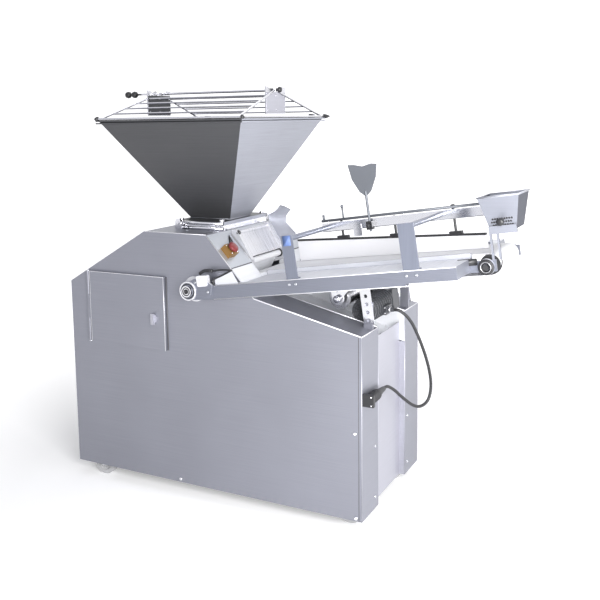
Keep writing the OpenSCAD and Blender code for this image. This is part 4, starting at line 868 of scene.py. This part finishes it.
def make_conveyor_bolts():
    """Bolts of the guide posts, hangers, take-up plates, straps and pivot, and the return shaft's nuts."""
    bm, nuts = bmesh.new(), bmesh.new()
    for u in POST_BOLT_U:
        hex_bolt(bm, on_belt(u, POST_FOOT_Y, POST_FOOT_W), SQUARE, POST_BOLT)
        dome_bolt(bm, on_belt(u, -ARM_Y, ARM_BOLT_W), -Y, ARM_BOLT)
    for side, _ in SIDES:
        out = Y * side
        for at, size in SIDE_BOLTS:
            hex_bolt(bm, on_side(side, at), out, size)
        for u, w in TAKE_UP_BOLTS:
            dome_bolt(bm, on_belt(u, side * TAKE_UP_Y, w), out, TAKE_UP_BOLT)
        for u, w in PIVOT_BOLTS:
            dome_bolt(bm, on_belt(u, side * PIVOT_BOLT_Y, w), out, PIVOT_HEAD)
        hex_bolt(nuts, on_side(side, RETURN_SHAFT), out, SHAFT_NUT)
    place("conveyor_bolts", bm, "conveyor", BOLT)
    place("return_shaft_nuts", nuts, "return_roller", POLISHED)


# Painted shadow at the near arm's end: dark bars, with a light sheet between them
ARM_END_SHADOW_Y, ARM_END_SHADOW_STEPS = -0.338, 5
ARM_END_SHADOW_TOP = [(0.008, 0.934), (0.030, 0.946), (0.066, 0.9485), (0.110, 0.9555), (0.152, 0.957)]
ARM_END_SHADOW_FOOT = [(0.152, 0.957), (0.108, 0.934), (0.070, 0.915), (0.066, 0.893)]
SHADOW_LINE_R, SHADOW_WIDE_R, SHADOW_FOOT_R = 0.0035, 0.0065, 0.0060
ARM_END_LIGHT_PATCH = [(0.078, 0.892), (0.180, 0.907), (0.150, 0.955), (0.108, 0.932), (0.075, 0.914)]
LIGHT_PATCH_THICK = 0.001
CLAMP_AT, CLAMP_BLOCK = (0.070, 0.338, 0.013), (0.046, 0.042, 0.024, 0.007)
CLAMP_BOLT_AT, CLAMP_BOLT = (0.093, 0.362, 0.036), (0.007, 0.005)


def make_arm_end_shadow():
    """Black bars over the near arm's end, a painted shadow of the channel's open end, thicker in places, a light sheet
    between them where the channel's inside shows, and both arms' clamp blocks.
    """
    bm = bmesh.new()
    for line, radius in ((ARM_END_SHADOW_TOP, SHADOW_LINE_R), (ARM_END_SHADOW_FOOT, SHADOW_LINE_R), (ARM_END_SHADOW_TOP[:3], SHADOW_WIDE_R),
                         (ARM_END_SHADOW_FOOT[2:], SHADOW_FOOT_R)):
        sweep(bm, spline(at_y(ARM_END_SHADOW_Y, line), ARM_END_SHADOW_STEPS), radius)
    place("arm_end_painted_shadow", bm, "conveyor", BLACK)
    bm = bmesh.new()
    for side, _ in SIDES:
        belt_sheet(bm, side, CLAMP_AT, CLAMP_BLOCK)
        hex_bolt(bm, on_side(side, CLAMP_BOLT_AT), Y * side, CLAMP_BOLT)
    place("arm_clamp_blocks", bm, "conveyor", FOLD, smooth=False)
    bm = bmesh.new()
    flat_plate(bm, at_y(ARM_END_SHADOW_Y, ARM_END_LIGHT_PATCH), Y * LIGHT_PATCH_THICK)
    place("arm_end_light_patch", bm, "conveyor", LIP, smooth=False)


ARM_HIGHLIGHT_U, ARM_HIGHLIGHT_Y, ARM_HIGHLIGHT_W, ARM_HIGHLIGHT_R = (0.125, 1.080), 0.344, (0.0110, -0.0410), 0.0016
LIP_AT, LIP_SKIN = (0.262, 0.1481, 0.0125), (0.817, 0.0150, 0.0006, 0.002)


def make_arm_highlights():
    """Painted highlights along the edges of the conveyor's arms, and the bright skins of their lips along the belt."""
    folds, lips = bmesh.new(), bmesh.new()
    for side, _ in SIDES:
        for w in ARM_HIGHLIGHT_W:
            sweep(folds, [on_belt(u, side * ARM_HIGHLIGHT_Y, w) for u in ARM_HIGHLIGHT_U], ARM_HIGHLIGHT_R)
        belt_sheet(lips, side, LIP_AT, LIP_SKIN)
    place("arm_edge_highlights", folds, "conveyor", FOLD)
    place("arm_lip_skins", lips, "conveyor", LIP, smooth=False)


FILM_AT, FILM_SHEET = (0.456, 0.3421, 0.134), (0.032, 0.037, 0.0006, 0.003)


def make_post_film():
    """Blue film left on the top of the first guide post, on the near side."""
    bm = bmesh.new()
    belt_sheet(bm, -1, FILM_AT, FILM_SHEET)
    place("post_film", bm, "conveyor", FILM)


FAN_AT, FAN_RADII, FAN_WIRE_R = (0.640, -0.1415, -0.158), (0.012, 0.021, 0.030, 0.039), 0.0016
SPOKES, SPOKE_HALF, SPOKE_R, SPOKE_SIDES = 6, 0.040, 0.0015, 8
TERMINAL_X, TERMINAL_Z, TERMINAL_FACE = (0.624, 0.656), (0.779, 0.801), -0.057
GLAND_AT, GLAND_NUT = Vector((0.662, -0.030, 0.790)), [(0, 0.0135), (0.007, 0.0135), (0.009, 0.0115)]


def make_motor_trim():
    """Fan grille on the motor's end, terminal box screws and the cord's gland nut."""
    bm = bmesh.new()
    at = on_belt(*FAN_AT)
    for radius in FAN_RADII:
        ring(bm, at, Y, radius, FAN_WIRE_R)
    for way in around(ALONG, SQUARE, SPOKES * 2)[:SPOKES]:
        sweep(bm, [at - way * SPOKE_HALF, at + way * SPOKE_HALF], SPOKE_R, SPOKE_SIDES)
    place("motor_fan_grille", bm, "conveyor", BLACK)
    bm = bmesh.new()
    for x in TERMINAL_X:
        for z in TERMINAL_Z:
            dome_bolt(bm, (x, TERMINAL_FACE, z), -Y, SMALL_SCREW)
    lathe(bm, GLAND_AT, X, GLAND_NUT, 6)
    place("terminal_screws", bm, "conveyor", MACHINED)


FLOUR_U, FLOUR_Y = (1.140, 1.280), (-0.205, -0.035)
FLOUR_LOW, FLOUR_TALL, FLOUR_TAPER = 0.102, 0.118, 0.026
RIM_W, RIM_R = 0.218, 0.003
DOT_ROWS, DOT_COLS, DOT_FIRST, DOT_PITCH = 4, 9, 0.06, 0.09  # rows in shares of the box's height
DOT_U, DOT_STEP = 1.176, 0.008
DOT = [(0, 0.0036), (0.0008, 0.0034), (0.0009, 0.0012)]
CATCH_AT, CATCH_REACH, CATCH_DEGREES = (1.150, -0.191, 0.000), 0.045, range(95, 29, -8)
CATCH_R, CATCH_SIDES = 0.0022, 8
SHAFT_CAP_AT = (1.210, -0.2045, 0.132)
SHAFT_CAP = [(0, 0.0126), (0.0120, 0.0126), (0.0145, 0.0105), (0.0155, 0.0040)]


def make_flour_trim():
    """Rolled rim and sieve dots of the flour box, the catch at the belt's end and the cap of the brush's shaft."""
    bm = bmesh.new()
    (u0, u1), (y0, y1) = FLOUR_U, FLOUR_Y
    closed_bars(bm, [on_belt(u, y, RIM_W) for u, y in ((u0, y0), (u1, y0), (u1, y1), (u0, y1))], RIM_R)
    place("flour_rim", bm, "conveyor", CHANNEL)
    bm = bmesh.new()
    for row in range(DOT_ROWS):
        share = DOT_FIRST + DOT_PITCH * row
        y = y0 + FLOUR_TAPER * (1 - share)
        for col in range(DOT_COLS):
            u = DOT_U + DOT_STEP * (col + 0.5 * (row % 2))
            lathe(bm, on_belt(u, y, FLOUR_LOW + FLOUR_TALL * share), -Y * FLOUR_TALL - SQUARE * FLOUR_TAPER, DOT, 12)
    place("flour_sieve_dots", bm, "conveyor", BLACK)
    bm = bmesh.new()
    u, y, w = CATCH_AT
    sweep(bm, [on_belt(u + CATCH_REACH * math.sin(t), y, w - CATCH_REACH * math.cos(t))
               for t in map(math.radians, CATCH_DEGREES)], CATCH_R, CATCH_SIDES)
    place("belt_end_catch", bm, "conveyor", BLACK)
    bm = bmesh.new()
    lathe(bm, on_belt(*SHAFT_CAP_AT), -Y, SHAFT_CAP)
    place("brush_shaft_cap", bm, "flour_brush", BLACK)


BOARD_GRIP_AT, BOARD_GRIP = (0.9845, 0.02824, 0.174), (0.010, 0.020)
PADDLE_GRIP_AT, PADDLE_GRIP = (0.660, -0.012, 0.150), (0.008, 0.016)
RAIL_U, RAIL_Y, RAIL_W, RAIL_R, RAIL_SIDES = (0.450, 1.135), 0.016, 0.1845, 0.0053, 16
RAIL_PINS = [(0.460, 0.0245, 0.0049), (0.545, 0.050, 0.0034)]  # u, height, radius
PIN_BALL_AT = (0.545, 0.016, 0.228)
PIN_BALL = [(0, 0.0030), (0.0020, 0.0052), (0.0065, 0.0065), (0.0110, 0.0052), (0.0132, 0.0020)]
RAIL_EDGE_Y, RAIL_EDGE_W, RAIL_EDGE_R = 0.012, 0.1415, 0.0013


def make_guide_trim():
    """Black grips on the board's third hanger and the paddle's clamp, and dark sleeves on the rail's rod and pins."""
    bm = bmesh.new()
    grip_knob(bm, on_belt(*BOARD_GRIP_AT), SQUARE, BOARD_GRIP)
    place("board_grip", bm, "board", BLACK)
    bm = bmesh.new()
    grip_knob(bm, on_belt(*PADDLE_GRIP_AT), -Y, PADDLE_GRIP)
    place("paddle_clamp_grip", bm, "conveyor", BLACK)
    bm = bmesh.new()
    sweep(bm, [on_belt(u, RAIL_Y, RAIL_W) for u in RAIL_U], RAIL_R, RAIL_SIDES)
    for u, height, radius in RAIL_PINS:
        sweep(bm, [on_belt(u, RAIL_Y, RAIL_W), on_belt(u, RAIL_Y, RAIL_W + height)], radius)
    lathe(bm, on_belt(*PIN_BALL_AT), SQUARE, PIN_BALL)
    sweep(bm, [on_belt(u, RAIL_EDGE_Y, RAIL_EDGE_W) for u in RAIL_U], RAIL_EDGE_R)
    place("rail_dark_sleeves", bm, "conveyor", PADDLE)


for make in (make_panel_fold_highlights, make_panel_end_lines, make_panel_bolts, make_louvre_hoods, make_door_trim,
             make_caster_nuts, make_socket_trim, make_neck_weld, make_guard_knobs, make_guard_skin, make_flange_bars,
             make_head_trim, make_front_apron, make_stop_screws, make_hub_rings, make_bearing_caps,
             make_conveyor_bolts, make_arm_end_shadow, make_arm_highlights, make_post_film, make_motor_trim, make_flour_trim,
             make_guide_trim):
    make()


# Studio

STAGE_NEAR, STAGE_FAR, STAGE_HALF, STAGE_HIGH = -9.0, 4.0, 9.0, 7.0
STAGE_BEND, BEND_STEPS = 1.5, 8
FLOOR_COLOUR, FLOOR_ROUGH, FLOOR_SHINE = (0.80, 0.80, 0.81, 1), 0.9, 0.1
GLOW, GLOW_FROM, GLOW_RISE, GLOW_MOST = 0.35, 1.0, 0.35, 0.6  # the glow rises beyond a distance from the middle
WORLD_COLOUR, WORLD_LEVEL = (0.93, 0.94, 1.0, 1), 0.24
LAMPS = [  # name, place, aimed at, width and height, watts
    ("key_lamp", (2.0, -2.1, 1.4), (0.3, 0, 0.8), (1.2, 1.2), 112),
    ("side_lamp", (3.6, -1.0, 0.9), (0.1, 0, 1.0), (1.8, 1.6), 60),
    ("top_lamp", (0.2, 0.8, 4.4), (0, 0, 1.0), (3.0, 3.0), 45),
]


def seen_rays(tree):
    """1 on rays that show the background, straight, in metal or through glass, and 0 on those that only light."""
    path = tree.nodes.new("ShaderNodeLightPath")
    indirect = add_math(tree, "MAXIMUM", path.outputs["Is Glossy Ray"], path.outputs["Is Transmission Ray"])
    return add_math(tree, "MAXIMUM", path.outputs["Is Camera Ray"], indirect)


def make_stage():
    """Pale floor that bends up to a backdrop, white where it is seen, with the object's shadow kept."""
    bm = bmesh.new()
    start = STAGE_FAR - STAGE_BEND
    turns = [math.pi / 2 * i / BEND_STEPS for i in range(1, BEND_STEPS + 1)]
    line = [(STAGE_NEAR, 0.0), (start, 0.0)]
    line += [(start + STAGE_BEND * math.sin(t), STAGE_BEND - STAGE_BEND * math.cos(t)) for t in turns]
    line.append((STAGE_FAR, STAGE_HIGH))
    rows = [[bm.verts.new((x, y, z)) for x in (-STAGE_HALF, STAGE_HALF)] for y, z in line]
    for low, up in zip(rows, rows[1:]):
        bm.faces.new((low[0], low[1], up[1], up[0]))
    floor = add_mesh("studio_floor", bm)
    material = bpy.data.materials.new("pale_floor")
    material.use_nodes = True
    tree = material.node_tree
    shader = tree.nodes["Principled BSDF"]
    shader.inputs["Base Color"].default_value = FLOOR_COLOUR
    shader.inputs["Roughness"].default_value = FLOOR_ROUGH
    shader.inputs["Specular IOR Level"].default_value = FLOOR_SHINE
    shader.inputs["Emission Color"].default_value = (1, 1, 1, 1)
    away = tree.nodes.new("ShaderNodeVectorMath")
    away.operation = "LENGTH"
    wire(tree, tree.nodes.new("ShaderNodeTexCoord").outputs["Object"], away.inputs[0])
    rise = add_math(tree, "MULTIPLY", add_math(tree, "SUBTRACT", away.outputs["Value"], GLOW_FROM), GLOW_RISE)
    rise = add_math(tree, "MINIMUM", add_math(tree, "MAXIMUM", rise, 0.0), GLOW_MOST)
    glow = add_math(tree, "MULTIPLY", seen_rays(tree), add_math(tree, "ADD", rise, GLOW))
    wire(tree, glow, shader.inputs["Emission Strength"])
    dress(floor, material)


def make_world():
    """Soft light from all round, and white where it is seen."""
    world = bpy.data.worlds.new("studio_world")
    scene.world = world
    world.use_nodes = True
    tree = world.node_tree
    background = tree.nodes["Background"]
    background.inputs["Color"].default_value = WORLD_COLOUR
    seen = add_math(tree, "MULTIPLY", seen_rays(tree), 1 - WORLD_LEVEL)
    wire(tree, add_math(tree, "ADD", WORLD_LEVEL, seen), background.inputs["Strength"])


def make_lamp(name, at, target, size, watts):
    data = bpy.data.lights.new(name, "AREA")
    data.shape = "RECTANGLE"
    data.size, data.size_y = size
    data.energy = watts
    lamp = bpy.data.objects.new(name, data)
    lamp.location = at
    lamp.rotation_mode = "QUATERNION"
    lamp.rotation_quaternion = (Vector(target) - Vector(at)).to_track_quat("-Z", "Y")
    scene.collection.objects.link(lamp)


make_stage()
make_world()
for lamp_values in LAMPS:
    make_lamp(*lamp_values)
